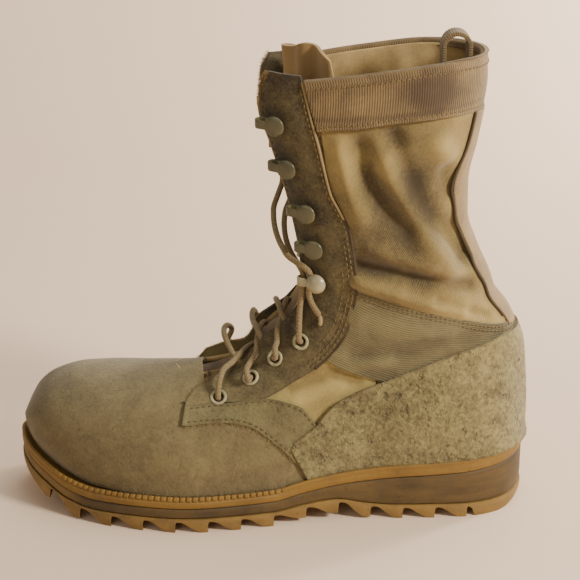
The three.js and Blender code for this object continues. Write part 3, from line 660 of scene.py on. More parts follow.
def ribbed(name, dark, light, turn, relief=0.6):
    """Webbing; turn is the way its ribs run."""
    def build(n):
        ribs = use(n, "ribs", Cloth=cloth_place(n), Turn=(0.0, 0.0, turn), Dark=dark, Light=light,
                   Tone=painted(n))
        soiled = use(n, "soil", Place=object_place(n), Color=ribs["Color"], Scale=55.0, Amount=0.35)
        return {"Color": soiled["Color"], "Height": ribs["Height"]}
    return material(name, build, roughness=0.88, relief=relief, depth=0.0004, sheen=0.15)


def rubber(name, dark, light, soil_low):
    def build(n):
        place = object_place(n)
        body = use(n, "rubber", Place=place, Dark=dark, Light=light, Tone=painted(n))
        soiled = use(n, "soil", Place=place, Color=body["Color"], Soil=colour(84, 66, 42), Scale=45.0,
                     Amount=0.45, Low=soil_low)
        rough = n.scaled(body["Height"], 0.15, 0.52)
        return {"Color": soiled["Color"], "Height": body["Height"], "Roughness": rough}
    return material(name, build, relief=0.25, depth=0.0004)


def enamel(name, base, chip):
    """Painted metal, chipped here and there."""
    def build(n):
        place = object_place(n)
        wear = n.noise(place, 380.0, 4.0, 0.65)
        shade = n.noise(place, 90.0, 2.0, 0.5)
        tint = n.mix(base, tuple(c * 0.72 for c in base), n.step(shade, 0.4, 0.65))
        worn = n.step(wear, 0.64, 0.70)
        return {"Color": n.mix(tint, chip, worn), "Height": wear,
                "Roughness": n.scaled(worn, 0.25, 0.38)}
    return material(name, build, relief=0.08, depth=0.0003, coat=0.25)


def braid(name, dark, light):
    """Laces: two sets of strands crossing slantwise round the cord."""
    def build(n):
        cloth = cloth_place(n)
        left = n.bands(cloth, 1.1, "DIAGONAL", 0.1)
        turned = n.add("Mapping", {"Vector": cloth, "Scale": (-1.0, 1.0, 1.0)})
        right = n.bands(turned, 1.1, "DIAGONAL", 0.1)
        over = n.math("MAXIMUM", left, right)
        worn = n.noise(cloth, 0.4, 4.0, 0.65)
        amount = n.math("ADD", n.scaled(over, 0.42, 0.18), n.scaled(worn, 0.8, -0.4), True)
        return {"Color": n.mix(dark, light, amount), "Height": n.math("ADD", over, n.scaled(worn, 0.4))}
    return material(name, build, roughness=0.85, relief=0.5, depth=0.0003, sheen=0.15)


def plain_thread(name, dark, light):
    def build(n):
        place = object_place(n)
        twist = n.noise(place, 1400.0, 2.0, 0.6)
        broad = n.noise(place, 40.0, 3.0, 0.6)
        amount = n.math("ADD", n.scaled(twist, 0.8, -0.2), n.scaled(broad, 0.6, -0.1), True)
        return {"Color": n.mix(dark, light, amount), "Height": twist}
    return material(name, build, roughness=0.8, relief=0.4, depth=0.0002)


SUEDE_FINE = suede("suede vamp", colour(77, 63, 34), colour(128, 113, 71), 0.34, 0.85, 0.6)
SUEDE_STAY = suede("suede stay", colour(78, 68, 39), colour(126, 115, 72), 0.44, 0.9, 0.7)
SUEDE_FACING = suede("suede facing", colour(49, 38, 17), colour(130, 115, 70), 0.34, 1.0, 0.6, 0.4)
SUEDE_ROUGH = suede("suede counter", colour(75, 63, 34), colour(156, 142, 90), 0.66, 0.62, 1.0)
CANVAS = canvas("shaft canvas", colour(64, 51, 23), colour(156, 133, 75))
CANVAS_LOW = canvas("quarter canvas", colour(122, 101, 51), colour(181, 160, 94))
LINING = canvas("lining cloth", colour(115, 90, 49), colour(194, 164, 106))
TONGUE_CLOTH = canvas("tongue cloth", colour(79, 60, 32), colour(153, 123, 75))
WEBBING = ribbed("collar webbing", colour(72, 54, 28), colour(141, 116, 72), math.radians(90))
ANKLE_WEBBING = ribbed("ankle webbing", colour(79, 69, 39), colour(127, 115, 74), math.radians(4), 0.7)
BACKSTAY_TAPE = ribbed("backstay tape", colour(105, 83, 48), colour(154, 127, 81), math.radians(90), 0.3)
WELT_RUBBER = rubber("welt rubber", colour(103, 72, 19), colour(146, 111, 43), 0.1)
MIDSOLE_RUBBER = rubber("midsole rubber", colour(58, 44, 19), colour(120, 93, 43), 0.18)
TREAD_RUBBER = rubber("tread rubber", colour(100, 76, 33), colour(160, 124, 58), 0.2)
# A darker copy of the eyelets' khaki enamel: painted shade for the upper hooks.
SHADED_HOOK_ENAMEL = enamel("khaki enamel in painted shade", colour(86, 81, 53), colour(61, 51, 28))
EYELET_ENAMEL = enamel("eyelet enamel", colour(168, 157, 120), colour(96, 79, 48))
LACE = braid("braided lace", colour(84, 67, 36), colour(157, 134, 88))
THREAD = plain_thread("thread", colour(88, 71, 41), colour(140, 118, 76))
SEAM_THREAD = plain_thread("seam thread", colour(78, 65, 38), colour(112, 96, 60))
DARK_CORD_AND_SHADOW = plain_thread("dark cord and painted shadow", colour(47, 35, 20), colour(86, 69, 42))
PIPING = plain_thread("piping", colour(123, 101, 62), colour(173, 148, 100))
AGLET_FILM = plain_thread("aglet film", colour(120, 100, 66), colour(176, 152, 108))


# ---------------------------------------------------------------- camera, floor and light, in metres
CAMERA_PLACE, CAMERA_DIP, CAMERA_LENS = (0.012, -0.868, 0.466), 20.9, 96
FLOOR_HALF_WIDTH, FLOOR_REACH = 2.2, 1.6
WALL_START, WALL_BEND = 0.75, 0.5


def set_camera():
    data = bpy.data.cameras.new("camera")
    data.lens = CAMERA_LENS
    camera = bpy.data.objects.new("camera", data)
    bpy.context.scene.collection.objects.link(camera)
    camera.location = CAMERA_PLACE
    camera.rotation_euler = (math.radians(90 - CAMERA_DIP), 0, 0)
    data.clip_start = 0.01
    bpy.context.scene.camera = camera


def set_floor():
    """A pale floor that curves up into a pale wall well behind the boot."""
    pale_cloth = material("pale cloth floor", lambda n: {
        "Color": n.mix(colour(228, 201, 172), colour(236, 211, 183), n.noise(object_place(n), 3.0, 3.0))})
    bm = bmesh.new()
    bmesh.ops.create_grid(bm, x_segments=1, y_segments=40, size=1.0)
    mesh = mesh_from(bm, "floor")
    points = points_of(mesh)
    run = points[:, 1] * FLOOR_REACH
    turn = np.clip((run - WALL_START) / WALL_BEND, 0, math.pi / 2)
    rise = np.clip(run - WALL_START - WALL_BEND * math.pi / 2, 0, None)
    y = np.minimum(run, WALL_START) + WALL_BEND * np.sin(turn)
    z = WALL_BEND * (1 - np.cos(turn)) + rise
    placed = np.stack([points[:, 0] * FLOOR_HALF_WIDTH, y, z], 1)
    mesh.vertices.foreach_set("co", placed.astype(np.float32).ravel())
    floor = bpy.data.objects.new("floor", mesh)
    bpy.context.scene.collection.objects.link(floor)
    mesh.materials.append(pale_cloth)


def add_light(name, place, aim, size, power, tint):
    data = bpy.data.lights.new(name, "AREA")
    data.size = size
    data.energy = power
    data.color = tint
    lamp = bpy.data.objects.new(name, data)
    bpy.context.scene.collection.objects.link(lamp)
    lamp.location = place
    lamp.rotation_euler = (Vector(aim) - Vector(place)).to_track_quat("-Z", "Y").to_euler()


def set_lights():
    world = bpy.data.worlds.new("soft room")
    world.use_nodes = True
    world.node_tree.nodes["Background"].inputs["Color"].default_value = (1, 0.97, 0.93, 1)
    world.node_tree.nodes["Background"].inputs["Strength"].default_value = 0.32
    bpy.context.scene.world = world
    add_light("key", (1.25, -0.75, 0.95), (0, 0, 0.12), 0.30, 37, (1.0, 0.94, 0.85))
    add_light("fill", (-0.9, -1.4, 0.9), (0, 0, 0.12), 1.0, 4.5, (1.0, 0.96, 0.9))
    add_light("wall", (1.3, 0.7, 0.6), (0.68, 1.25, 0.3), 0.5, 46, (1.0, 0.96, 0.92))
    add_light("top", (0.2, 0.3, 1.5), (0, 0, 0.1), 0.9, 11, (1.0, 0.96, 0.9))


set_camera()
set_floor()
set_lights()


# ---------------------------------------------------------------- laces
TO_FRONT = np.array([-1.0, 0, 0])
THROAT_TILT = 0.95 / 26         # how fast the outward way turns sideways over the throat, a millimetre
HOOK_MIDDLE, HOOK_LEAN = 3.8, 0.6
LACE_STEP, LACE_OVER_THROAT, TIP_RADIUS = 0.7, LACE_RADIUS + 1.3, 1.3


def unit(v):
    return v / np.linalg.norm(v)


def half_at(x, z, side):
    """Half-width of the boot at one place of its side view."""
    return float(boot_half(np.float64(x), np.float64(z), np.float64(side)))


def skin_point(x, z, side):
    return np.array([x, float(ridge_y(x)) + side * half_at(x, z, side), z])


def fitting_frame(row, side, lean=1.0):
    """Place of a fitting on the skin, and the ways to the throat, across, and out of the boot, as columns.

    A lean below 1 sets the fitting flatter to the boot's side than the skin there.
    """
    x, z, drop = row
    z -= drop if side > 0 else 0
    step = 1.5
    slope_x = lean * (half_at(x + step, z, side) - half_at(x - step, z, side)) / (2 * step)
    slope_z = lean * (half_at(x, z + step, side) - half_at(x, z - step, side)) / (2 * step)
    out = unit(np.array([-slope_x, side, -slope_z]))
    ahead = unit(TO_FRONT - out * out.dot(TO_FRONT))
    return skin_point(x, z, side), np.stack([ahead, np.cross(out, ahead), out], 1)


def at_fitting(row, side, places):
    """Points given in a fitting's own ways, put on the boot."""
    place, turn = fitting_frame(row, side)
    return place + np.asarray(places, float) @ turn.T


def over_throat(start, end, height):
    """Points of a cord across the throat of the shaft from start to end, at a height above the skin."""
    shares = np.linspace(0.125, 0.875, 7)[:, None]
    place = start + (end - start) * shares
    base = place * (1, 0.97, 1)
    base = base + TO_FRONT * reach_of(base, np.broadcast_to(TO_FRONT, base.shape), 40.0)[:, None]
    tilt = THROAT_TILT * place[:, 1]
    base = base + TO_FRONT * (height * np.cos(tilt))[:, None]
    base[:, 1] = place[:, 1] + height * np.sin(tilt)
    return base


def smooth_path(corners, step):
    """Catmull-Rom curve through points, resampled to an even step."""
    p = np.asarray(corners, float)
    p = np.concatenate([2 * p[:1] - p[1:2], p, 2 * p[-1:] - p[-2:-1]])
    t = np.linspace(0, 1, 16, endpoint=False)[None, :, None]
    a, b, c, d = p[:-3, None], p[1:-2, None], p[2:-1, None], p[3:, None]
    leave, arrive = (c - a) / 2, (d - b) / 2
    c2, c3 = 3 * (c - b) - 2 * leave - arrive, 2 * (b - c) + leave + arrive
    fine = (b + t * (leave + t * (c2 + t * c3))).reshape(-1, 3)
    fine = np.concatenate([fine, p[-2:-1]])
    run = run_along(fine)
    places = np.linspace(0, run[-1], max(int(run[-1] / step), 2) + 1)
    return np.stack([np.interp(places, run, fine[:, k]) for k in range(3)], 1)


def carried_frames(path):
    """Two directions across a path at each point, carried along it without twist."""
    along = np.gradient(path, axis=0)
    along /= np.linalg.norm(along, axis=1)[:, None]
    first = np.cross(along[0], (0, 0, 1) if abs(along[0][2]) < 0.9 else (1, 0, 0))
    normals = [unit(first)]
    for direction in along[1:]:
        last = normals[-1]
        normals.append(unit(last - direction * direction.dot(last)))
    normals = np.array(normals)
    return normals, np.cross(along, normals)


def tube_mesh(name, path, radius, sides=14):
    """A round cord along a path, with rounded ends."""
    normals, across = carried_frames(path)
    run = np.linspace(0, run_along(path)[-1], len(path))
    end = np.clip(np.minimum(run, run[-1] - run) / radius, 0, 1)
    size = np.maximum(np.sqrt(np.clip(1 - (1 - end) ** 2, 0, 1)), 0.02) * radius

    def shape(u, v):
        k = np.rint(v * (len(path) - 1)).astype(int)
        turn = 2 * math.pi * u
        return (path[k] + normals[k] * (np.cos(turn) * size[k])[..., None]
                + across[k] * (np.sin(turn) * size[k])[..., None])
    return grid_mesh(name, sides, len(path) - 1, shape, weld=True)


def join_meshes(name, meshes, weld=None):
    """One mesh of several; corners closer than weld are made one."""
    bm = bmesh.new()
    for mesh in meshes:
        bm.from_mesh(mesh)
        bpy.data.meshes.remove(mesh)
    if weld:
        bmesh.ops.remove_doubles(bm, verts=bm.verts, dist=weld * MM)
    return mesh_from(bm, name)


# Free stretches of the strands from each eyelet: from the outer side they lie close and slip under the far
# facing, from the inner side they stand up over the far flap in a slack loop.
OUTER_STRANDS = [
    [(-30.6, -31.0, 82.2), (-29.8, -28.5, 86.9), (-27.6, -23.0, 91.0), (-22.9, -17.0, 93.0),
     (-18.7, -10.0, 94.9), (-15.0, -3.0, 96.2), (-10.2, 5.0, 96.0), (-5.7, 13.0, 94.6)],
    [(-12.6, -31.5, 87.6), (-14.0, -28.0, 92.6), (-11.4, -22.0, 95.8), (-8.5, -16.0, 98.5),
     (-7.7, -9.0, 104.5), (-6.8, 0.0, 107.5), (-3.0, 9.0, 108.3)],
    [(3.4, -31.0, 102.3), (3.1, -27.5, 106.6), (4.3, -22.0, 108.8), (4.5, -17.0, 114.2),
     (6.3, -11.0, 117.5), (8.0, -3.0, 122.3), (10.9, 8.0, 123.9)],
]
INNER_STRANDS = [
    [(-30.6, 30.5, 79), (-27.5, 27, 89), (-24.6, 22.0, 97.1), (-24.6, 17.0, 101.8), (-26.9, 13.0, 104.8),
     (-28.6, 8.0, 104.2), (-27.7, 1.0, 101.8), (-24.5, -5.0, 96.9), (-21.6, -10.0, 93.6),
     (-17.2, -15.0, 89.2)],
    [(-12.0, 31, 88), (-9.5, 27, 98), (-8.6, 22.0, 107.2), (-10.4, 17.0, 113.5), (-11.4, 12.0, 111.9),
     (-10.3, 4.0, 110.4), (-8.4, -4.0, 110.7), (-6.2, -10.0, 107.8), (-1.3, -16.0, 101.2)],
    [(3.0, 31.5, 101), (4.6, 27, 108), (4.9, 22.0, 114.5), (3.4, 17.0, 120.5), (3.5, 12.0, 122.6),
     (4.4, 4.0, 124.1), (5.7, -4.0, 123.5), (7.8, -10.0, 120.3), (11.0, -16.0, 116.6)],
]


def crossing(k, side):
    """Route of one lace strand from eyelet k on one side to the next one on the other."""
    out_of = at_fitting(EYELETS[k], side, [[0, 0, -4.2], [0, 0, -1.5], [0.2, 0, 1.6]])
    into = at_fitting(EYELETS[k + 1], -side, [[3.0, 0, -3.6], [0.6, 0, -3.6], [0, 0, -1.4]])
    return np.concatenate([out_of, np.array((OUTER_STRANDS if side < 0 else INNER_STRANDS)[k]), into])


def beside_skin(places):
    """Points at (x, z, height over the outer side's skin)."""
    return [at_fitting((x, z, 0), -1, [[0, 0, height]]) for x, z, height in places]


def lace_mesh(name, routes):
    return tube_mesh(name, smooth_path(np.concatenate(routes), LACE_STEP), LACE_RADIUS)


def make_crossed_laces():
    """The strands between the eyelets, and the one from the top eyelet up over the hooks."""
    meshes = [lace_mesh("strand", [crossing(k, side)]) for k in range(len(EYELETS) - 1) for _, side in SIDES]
    riser = [
        at_fitting(EYELETS[3], -1, [[0, 0, -4.2], [0, 0, -1.0], [0, -0.6, 2.6], [0, -3.2, 4.2],
                                    [0, -7, 3.8], [-0.4, -20, 3.4]]),
        at_fitting(HOOKS[0], -1, [[9.2, 5, HOOK_MIDDLE], [9.2, -4, HOOK_MIDDLE]]),
        over_throat(skin_point(20.5, 156, -1), skin_point(14.5, 184, 1), LACE_OVER_THROAT),
        at_fitting(HOOKS[2], 1, [[8.4, -5, HOOK_MIDDLE], [8.4, -1, HOOK_MIDDLE]]),
    ]
    meshes.append(lace_mesh("riser", riser))
    crossed = ("lace_crossing_1", "lace_crossing_2", "lace_crossing_3", "lace_riser")
    new_object("lace_crossed", join_meshes("lace_crossed", meshes), LACE, crossed)


def make_free_end():
    """The end that comes off a hook on the far side, passes the ball hook and hangs, with its tip."""
    route = [
        at_fitting(HOOKS[2], 1, [[8.6, 4.6, HOOK_MIDDLE], [11, 7.4, 4.8], [14.6, 5, 5.4], [15.4, 0, 5.8]]),
        over_throat(skin_point(11.5, 187, 1), skin_point(23, 158, -1), LACE_OVER_THROAT + 3 * LACE_RADIUS),
        at_fitting(HOOKS[0], -1, [[4.6, -7, HOOK_MIDDLE + 1.4], [4.3, 0, HOOK_MIDDLE]]),
        *beside_skin([(25.4, 141.5, 4), (25.6, 136.5, 3), (27.5, 131.5, 2.6), (30.6, 127, 2.5)]),
    ]
    path = smooth_path(np.concatenate(route), LACE_STEP)
    free_end = new_object("lace_free_end", tube_mesh("lace_free_end", path, LACE_RADIUS), LACE,
                          ("lace_end",))
    tip = np.concatenate(beside_skin([(30.5, 127.6, 2.5), (30.9, 124.5, 2.4), (30.3, 121, 2.3)]))
    tip_mesh = tube_mesh("lace_tip", smooth_path(tip, 0.4), TIP_RADIUS)
    aglet = new_object("lace_tip", tip_mesh, AGLET_FILM, ("aglet",))
    centreline = metres(path)
    length = float(run_along(centreline)[-1])


make_crossed_laces()
make_free_end()


# ---------------------------------------------------------------- eyelets and hooks
def lathe(profile, closed, steps=36):
    """Turns a profile of (radius, height) about the Z axis; the lengths stay in millimetres."""
    bm = bmesh.new()
    corners = [bm.verts.new((r, 0, h)) for r, h in profile]
    pairs = list(zip(corners, corners[1:])) + ([(corners[-1], corners[0])] if closed else [])
    edges = [bm.edges.new(pair) for pair in pairs]
    bmesh.ops.spin(bm, geom=corners + edges, cent=(0, 0, 0), axis=(0, 0, 1), dvec=(0, 0, 0),
                   angle=2 * math.pi, steps=steps, use_merge=True, use_duplicate=False)
    bmesh.ops.remove_doubles(bm, verts=bm.verts, dist=1e-4)
    bmesh.ops.recalc_face_normals(bm, faces=bm.faces)
    return bm


def put_on_skin(bm, row, side, lean=1.0):
    """Moves a shape made about the origin to its place on the skin."""
    place, turn = fitting_frame(row, side, lean)
    matrix = Matrix.Identity(4)
    for i in range(3):
        for j in range(3):
            matrix[i][j] = turn[i][j] * MM
    matrix.translation = metres(place)
    bmesh.ops.transform(bm, matrix=matrix, verts=bm.verts)


def hook_strip():
    """Steel strip folded over into a hook, open at the heel side."""
    low, high, sheet, reach, width = 1.5, 6.1, 1.0, 12.5, 5.2
    middle, radius = (low + high) / 2, (high - low) / 2

    def bend(r):
        turns = [math.pi * (i / 8 - 0.5) for i in range(9)]
        return [(reach - sheet - radius + r * math.cos(t), middle + r * math.sin(t)) for t in turns]
    inner, outer = bend(radius), bend(radius + sheet)
    line = [(-2.0, low - sheet), *outer, (1.5, high + sheet), (1.5, high), *reversed(inner), (-2.0, low)]
    bm = bmesh.new()
    face = bm.faces.new([bm.verts.new((x, -width / 2, h)) for x, h in line])
    pulled = bmesh.ops.extrude_face_region(bm, geom=[face])["geom"]
    bmesh.ops.translate(bm, vec=(0, width, 0), verts=[g for g in pulled if isinstance(g, bmesh.types.BMVert)])
    bmesh.ops.recalc_face_normals(bm, faces=bm.faces)
    edges = [e for e in bm.edges if len(e.link_faces) == 2 and e.calc_face_angle() > 0.9]
    bmesh.ops.bevel(bm, geom=edges, offset=0.3, affect="EDGES", segments=2, profile=0.5, material=-1)
    return bm


# Outlines turned about the fitting's middle: radius, height over the skin.
DISC = [(0, 7.6), (3.0, 7.5), (4.8, 7.3), (5.7, 6.9), (6.1, 6.3), (5.9, 5.9), (5.2, 5.7), (0, 5.7)]
BALL = [(0, 10.2), (1.9, 10.0), (3.6, 9.4), (5.0, 8.3), (5.9, 7.0), (6.1, 6.2), (5.6, 5.7), (0, 5.7)]
EYELET_RING = [(3.1, -1.9), (3.6, -1.9), (3.6, 0.7), (4.8, 0.7), (5.15, 1.0), (4.95, 1.5), (4.5, 1.8),
               (3.9, 1.8), (3.4, 1.55), (3.1, 1.0)]


def make_fittings():
    for name, side in SIDES:
        for k, row in enumerate(EYELETS):
            bm = lathe(EYELET_RING, closed=True)
            put_on_skin(bm, row, side)
            mesh = mesh_from(bm, "ring")
            new_object(f"lace_ring_{name}_{k + 1}", mesh, EYELET_ENAMEL,
                       (f"eyelet_{name}_{k + 1}",))
        for k, row in enumerate(HOOKS):
            bm = hook_strip()
            put_on_skin(bm, row, side, HOOK_LEAN)
            strip = mesh_from(bm, "strip")
            bm = lathe(BALL if k == 0 else DISC, closed=False)
            put_on_skin(bm, row, side, HOOK_LEAN)
            mesh = join_meshes("speed_hook", [strip, mesh_from(bm, "head")])
            # The ball hook takes the eyelets' enamel; the other hooks a darker copy of it, painted shade.
            finish = EYELET_ENAMEL if k == 0 else SHADED_HOOK_ENAMEL
            new_object(f"speed_hook_{name}_{k + 1}", mesh, finish, (f"hook_{name}_{k + 1}",))


make_fittings()


# ---------------------------------------------------------------- sole
def even_outline(count):
    """Points, inward directions and distances along the sole's outline, evenly spaced from the toe tip."""
    fine = plan_outline(0, 64)
    loop = np.concatenate([fine, fine[:1]])
    run = run_along(loop)
    at = np.linspace(0, run[-1], count + 1)[:-1]
    points = np.stack([np.interp(at, run, loop[:, k]) for k in (0, 1)], 1)
    along = np.roll(points, -1, 0) - np.roll(points, 1, 0)
    along /= np.linalg.norm(along, axis=1)[:, None]
    return points, np.stack([-along[:, 1], along[:, 0]], 1), at


def ring_wall(name, columns, rows, tone=None):
    """A closed band round the sole. rows(x, at) gives the inset and height of each ring, from x and the
    distance along the outline."""
    points, inward, at = even_outline(columns)
    closed = np.arange(columns + 1) % columns
    rims = np.stack([np.concatenate([points + inward * np.broadcast_to(inset, columns)[:, None],
                                     height[:, None]], 1)[closed]
                     for inset, height in rows(points[:, 0], at)], 1)

    def shape(u, v):
        return rims[np.rint(u * columns).astype(int), np.rint(v * (rims.shape[1] - 1)).astype(int)]
    mesh = grid_mesh(name, columns, rims.shape[1] - 1, shape, weld=True, tone=tone)
    bm = bmesh.new()
    bm.from_mesh(mesh)
    bmesh.ops.holes_fill(bm, edges=[e for e in bm.edges if e.is_boundary], sides=0)
    bmesh.ops.recalc_face_normals(bm, faces=bm.faces)
    bm.to_mesh(mesh)
    bm.free()
    return mesh


NOTCH_PITCH, NOTCH_END_X = 3.85, 6.0
CAP_INSET = 16.0
LAYER_GAP = 0.3


def welt_rows(x, at):
    """Welt: a smooth band with a row of small notched blocks on its upper edge along the forefoot."""
    low = between(SOLE_LAYERS, MIDSOLE_TOP, x) + LAYER_GAP
    top = welt_top(x)
    front = smoothstep(NOTCH_END_X + 6, NOTCH_END_X - 2, x) * smoothstep(-136, -123, x)
    phase = (at / NOTCH_PITCH) % 1
    block = smoothstep(0.08, 0.24, phase) * smoothstep(0.98, 0.82, phase)
    notch = front * (1 - block)
    lip = 1 - front
    return [
        (CAP_INSET, low), (1.2, low), (0.45, low + 0.25), (0.1, low + 1.0), (0.0, low + 2.4),
        (0.05, top - 4.2), (0.15 + 0.1 * lip, top - 3.5), (0.75 * front + 0.3 * lip, top - 3.15),
        (0.8 * front + 0.3 * lip, top - 2.95), (0.25 + 0.95 * notch, top - 2.7),
        (0.2 + 1.15 * notch, top - 1.9), (0.3 + 1.15 * notch - 0.2 * lip, top - 0.9 - 0.1 * notch),
        (0.75 + 0.9 * notch - 0.2 * lip, top - 0.3 - 0.35 * notch), (1.6, top - 0.05 - 0.55 * notch),
        (2.6, top - 0.9), (4.0, top - 1.8), (CAP_INSET, top - 1.8),
    ]


def midsole_rows(x, at):
    """Midsole: a plain band, a little inset, with rounded edges."""
    low = between(SOLE_LAYERS, OUTSOLE_TOP, x) + LAYER_GAP
    top = between(SOLE_LAYERS, MIDSOLE_TOP, x)
    tall = top - low
    return [(CAP_INSET, low), (1.4, low), (0.8, low + 0.5), (0.65, low + 1.2), (0.5, low + 0.3 * tall),
            (0.55, low + 0.6 * tall), (0.5, top - 1.4), (0.7, top - 0.5), (1.4, top), (CAP_INSET, top)]


def midsole_tone(p):
    """Pale like the welt round the toe, brown along the rest."""
    return -0.28 + 0.8 * smoothstep(-108, -126, p[:, 0])


# A tooth's front slope: share of the pitch, and of the way down from its root to its tip.
TOOTH_SLOPE = [(0.10, 0.0), (0.20, 0.04), (0.32, 0.20), (0.45, 0.48), (0.60, 0.76), (0.72, 0.93)]
HEEL_CORNER = [(139, 0), (146, 0.8), (151, 2.6), (155, 4.9), (158, 7.2)]
TREAD_END = 158


def tread_profile():
    """Side outline of the outsole: shark-fin teeth, each sloping down to a flat tip with a steep rear."""
    def tip(x):
        return float(between(SOLE_LAYERS, TIPS, np.float64(x)))

    def root(x):
        return float(between(SOLE_LAYERS, OUTSOLE_TOP, np.float64(x))) - 1.7
    line = [(-TREAD_END, tip(-TREAD_END)), (-150, tip(-150) - 0.4)]
    for i in range(TOOTH_COUNT):
        wall = FIRST_TOOTH_X + i * TOOTH_PITCH
        if i:
            start = wall - TOOTH_PITCH
            for share, down in TOOTH_SLOPE:
                line.append((start + share * TOOTH_PITCH, root(start) * (1 - down) + tip(wall) * down))
        line += [(wall - 3.5, tip(wall)), (wall, tip(wall)), (wall - 0.3, tip(wall) + 1.4),
                 (wall + 0.2, root(wall) - 1.0), (wall + 0.9, root(wall) - 0.1)]
    last = FIRST_TOOTH_X + TOOTH_PITCH * (TOOTH_COUNT - 1)
    line += [(last + 3.2, root(last) - 1.6), (last + 5, 0), *HEEL_CORNER]
    steps = np.linspace(TREAD_END, -TREAD_END, 60)
    line += list(zip(steps, between(SOLE_LAYERS, OUTSOLE_TOP, steps)))
    return line


def prism(corners, axis, start, length):
    """A flat outline carried along one axis; corners are millimetres in the other two."""
    bm = bmesh.new()
    if axis == "Y":
        flat = [(x, start, z) for x, z in corners]
        move = (0, length * MM, 0)
    else:
        flat = [(x, y, start) for x, y in corners]
        move = (0, 0, length * MM)
    face = bm.faces.new([bm.verts.new(p) for p in metres(flat)])
    pulled = bmesh.ops.extrude_face_region(bm, geom=[face])["geom"]
    bmesh.ops.translate(bm, vec=move, verts=[g for g in pulled if isinstance(g, bmesh.types.BMVert)])
    bmesh.ops.recalc_face_normals(bm, faces=bm.faces)
    return bm


def make_outsole():
    """The toothed profile carried across the boot and cut to the sole's outline."""
    body = bpy.data.objects.new("tread body", mesh_from(prism(tread_profile(), "Y", -75, 150), "tread body"))
    points, _, _ = even_outline(420)
    cutter = bpy.data.objects.new("tread outline", mesh_from(prism(points, "Z", -20, 80), "tread outline"))
    for piece in (body, cutter):
        bpy.context.scene.collection.objects.link(piece)
    cut = body.modifiers.new("outline", "BOOLEAN")
    cut.operation, cut.object, cut.solver = "INTERSECT", cutter, "EXACT"
    graph = bpy.context.evaluated_depsgraph_get()
    mesh = bpy.data.meshes.new_from_object(body.evaluated_get(graph))
    for piece in (body, cutter):
        bpy.data.objects.remove(piece)
    mesh.name = "ripple_outsole"
    mesh.shade_smooth()
    piece = new_object("ripple_outsole", mesh, TREAD_RUBBER, ("outsole",))
    soften(piece, 0.55, angle=32)


def make_sole():
    welt = ring_wall("stitched_welt", 1680, welt_rows)
    new_object("stitched_welt", welt, WELT_RUBBER, ("welt",))
    midsole = ring_wall("wedge_midsole", 480, midsole_rows, midsole_tone)
    new_object("wedge_midsole", midsole, MIDSOLE_RUBBER, ("midsole",))
    make_outsole()


make_sole()


# ---------------------------------------------------------------- laying panels on the form
PANEL_EDGE = 0.45               # width of the rounding along a panel's edges


def polyline_distance(x, z, places):
    """Distance in the side view from points to a line of places."""
    best = np.full(np.shape(x), 1e6)
    for (ax, az), (bx, bz) in zip(places, places[1:]):
        dx, dz = bx - ax, bz - az
        t = np.clip(((x - ax) * dx + (z - az) * dz) / (dx * dx + dz * dz), 0, 1)
        best = np.minimum(best, np.hypot(x - ax - t * dx, z - az - t * dz))
    return best


def fold_height(points, folds, side):
    """Soft troughs (-) and ridges (+) laid along lines in the side view, on one side of the boot."""
    x, z = points[..., 0], points[..., 2]
    across = (points[..., 1] - ridge_y(x)) * side
    total = np.zeros(x.shape)
    for height, width, places in folds:
        total = total + height * np.exp(-(polyline_distance(x, z, places) / width) ** 2)
    return total * smoothstep(-2, 10, across)


def waves(points, size, seed):
    """Slow unevenness of cloth and hide."""
    rng = np.random.default_rng(seed)
    total = np.zeros(points.shape[:-1])
    for k in range(6):
        way = rng.normal(size=3)
        way /= np.linalg.norm(way)
        total = total + np.sin((points @ way) * 2 * math.pi / (size * (0.6 + 0.25 * k)) + rng.random() * 6.28)
    return total / 4


def loop_rail(places, back=None):
    """Rail from the outer side round the back to the inner side; places are (x, z), front first."""
    line = [(x, z, -1) for x, z in places] + ([(*back, -1)] if back else [])
    line += [(x, z, 1) for x, z in reversed(places)]
    x, z, side = np.array(line, float).T
    s, w = chart(x, z, side)
    if back:
        w[len(places)] = 180
    return table_rail(run_along(skin(s, w)), s, w)


def reach_rail(places, side):
    """Rail near the boot's front through (x, z, distance from its middle line)."""
    x, z, reach = np.array(places, float).T
    s, _ = chart(x, z, side)
    reach_at = table_rail(run_along(np.stack([x, z], 1)), s, reach)

    def rail(t):
        at, wide = reach_at(t)
        w = w_where(at, reach_test(wide), 0, 100)
        return at, (w if side < 0 else 360 - w)
    return rail


def sampled(rail, count=400):
    """The same rail read from a table, to save time."""
    t = np.linspace(0, 1, count)
    s, w = rail(t)
    return lambda at: (np.interp(at, t, s), np.interp(at, t, w))


def cross_rails(first, second, v, share):
    """Place (s, w) a share of the way from the first rail to the second, at v along both."""
    (s0, w0), (s1, w1) = first(v), second(v)
    return s0 + (s1 - s0) * share, w0 + (w1 - w0) * share


def panel(name, first, second, across, along, lift, finish, thickness, replaced=(), tone=None):
    """A panel between two rails; lift(points, u, v) is its outer face's height over the form."""
    first, second = sampled(first), sampled(second)

    def shape(u, v):
        return lifted(*cross_rails(first, second, v, u), lambda points: lift(points, u, v))
    mesh = grid_mesh(name, across, along, shape, outward=boot_middle, tone=tone)
    piece = new_object(name, mesh, finish, replaced)
    thicken(piece, thickness)
    return soften(piece, PANEL_EDGE)


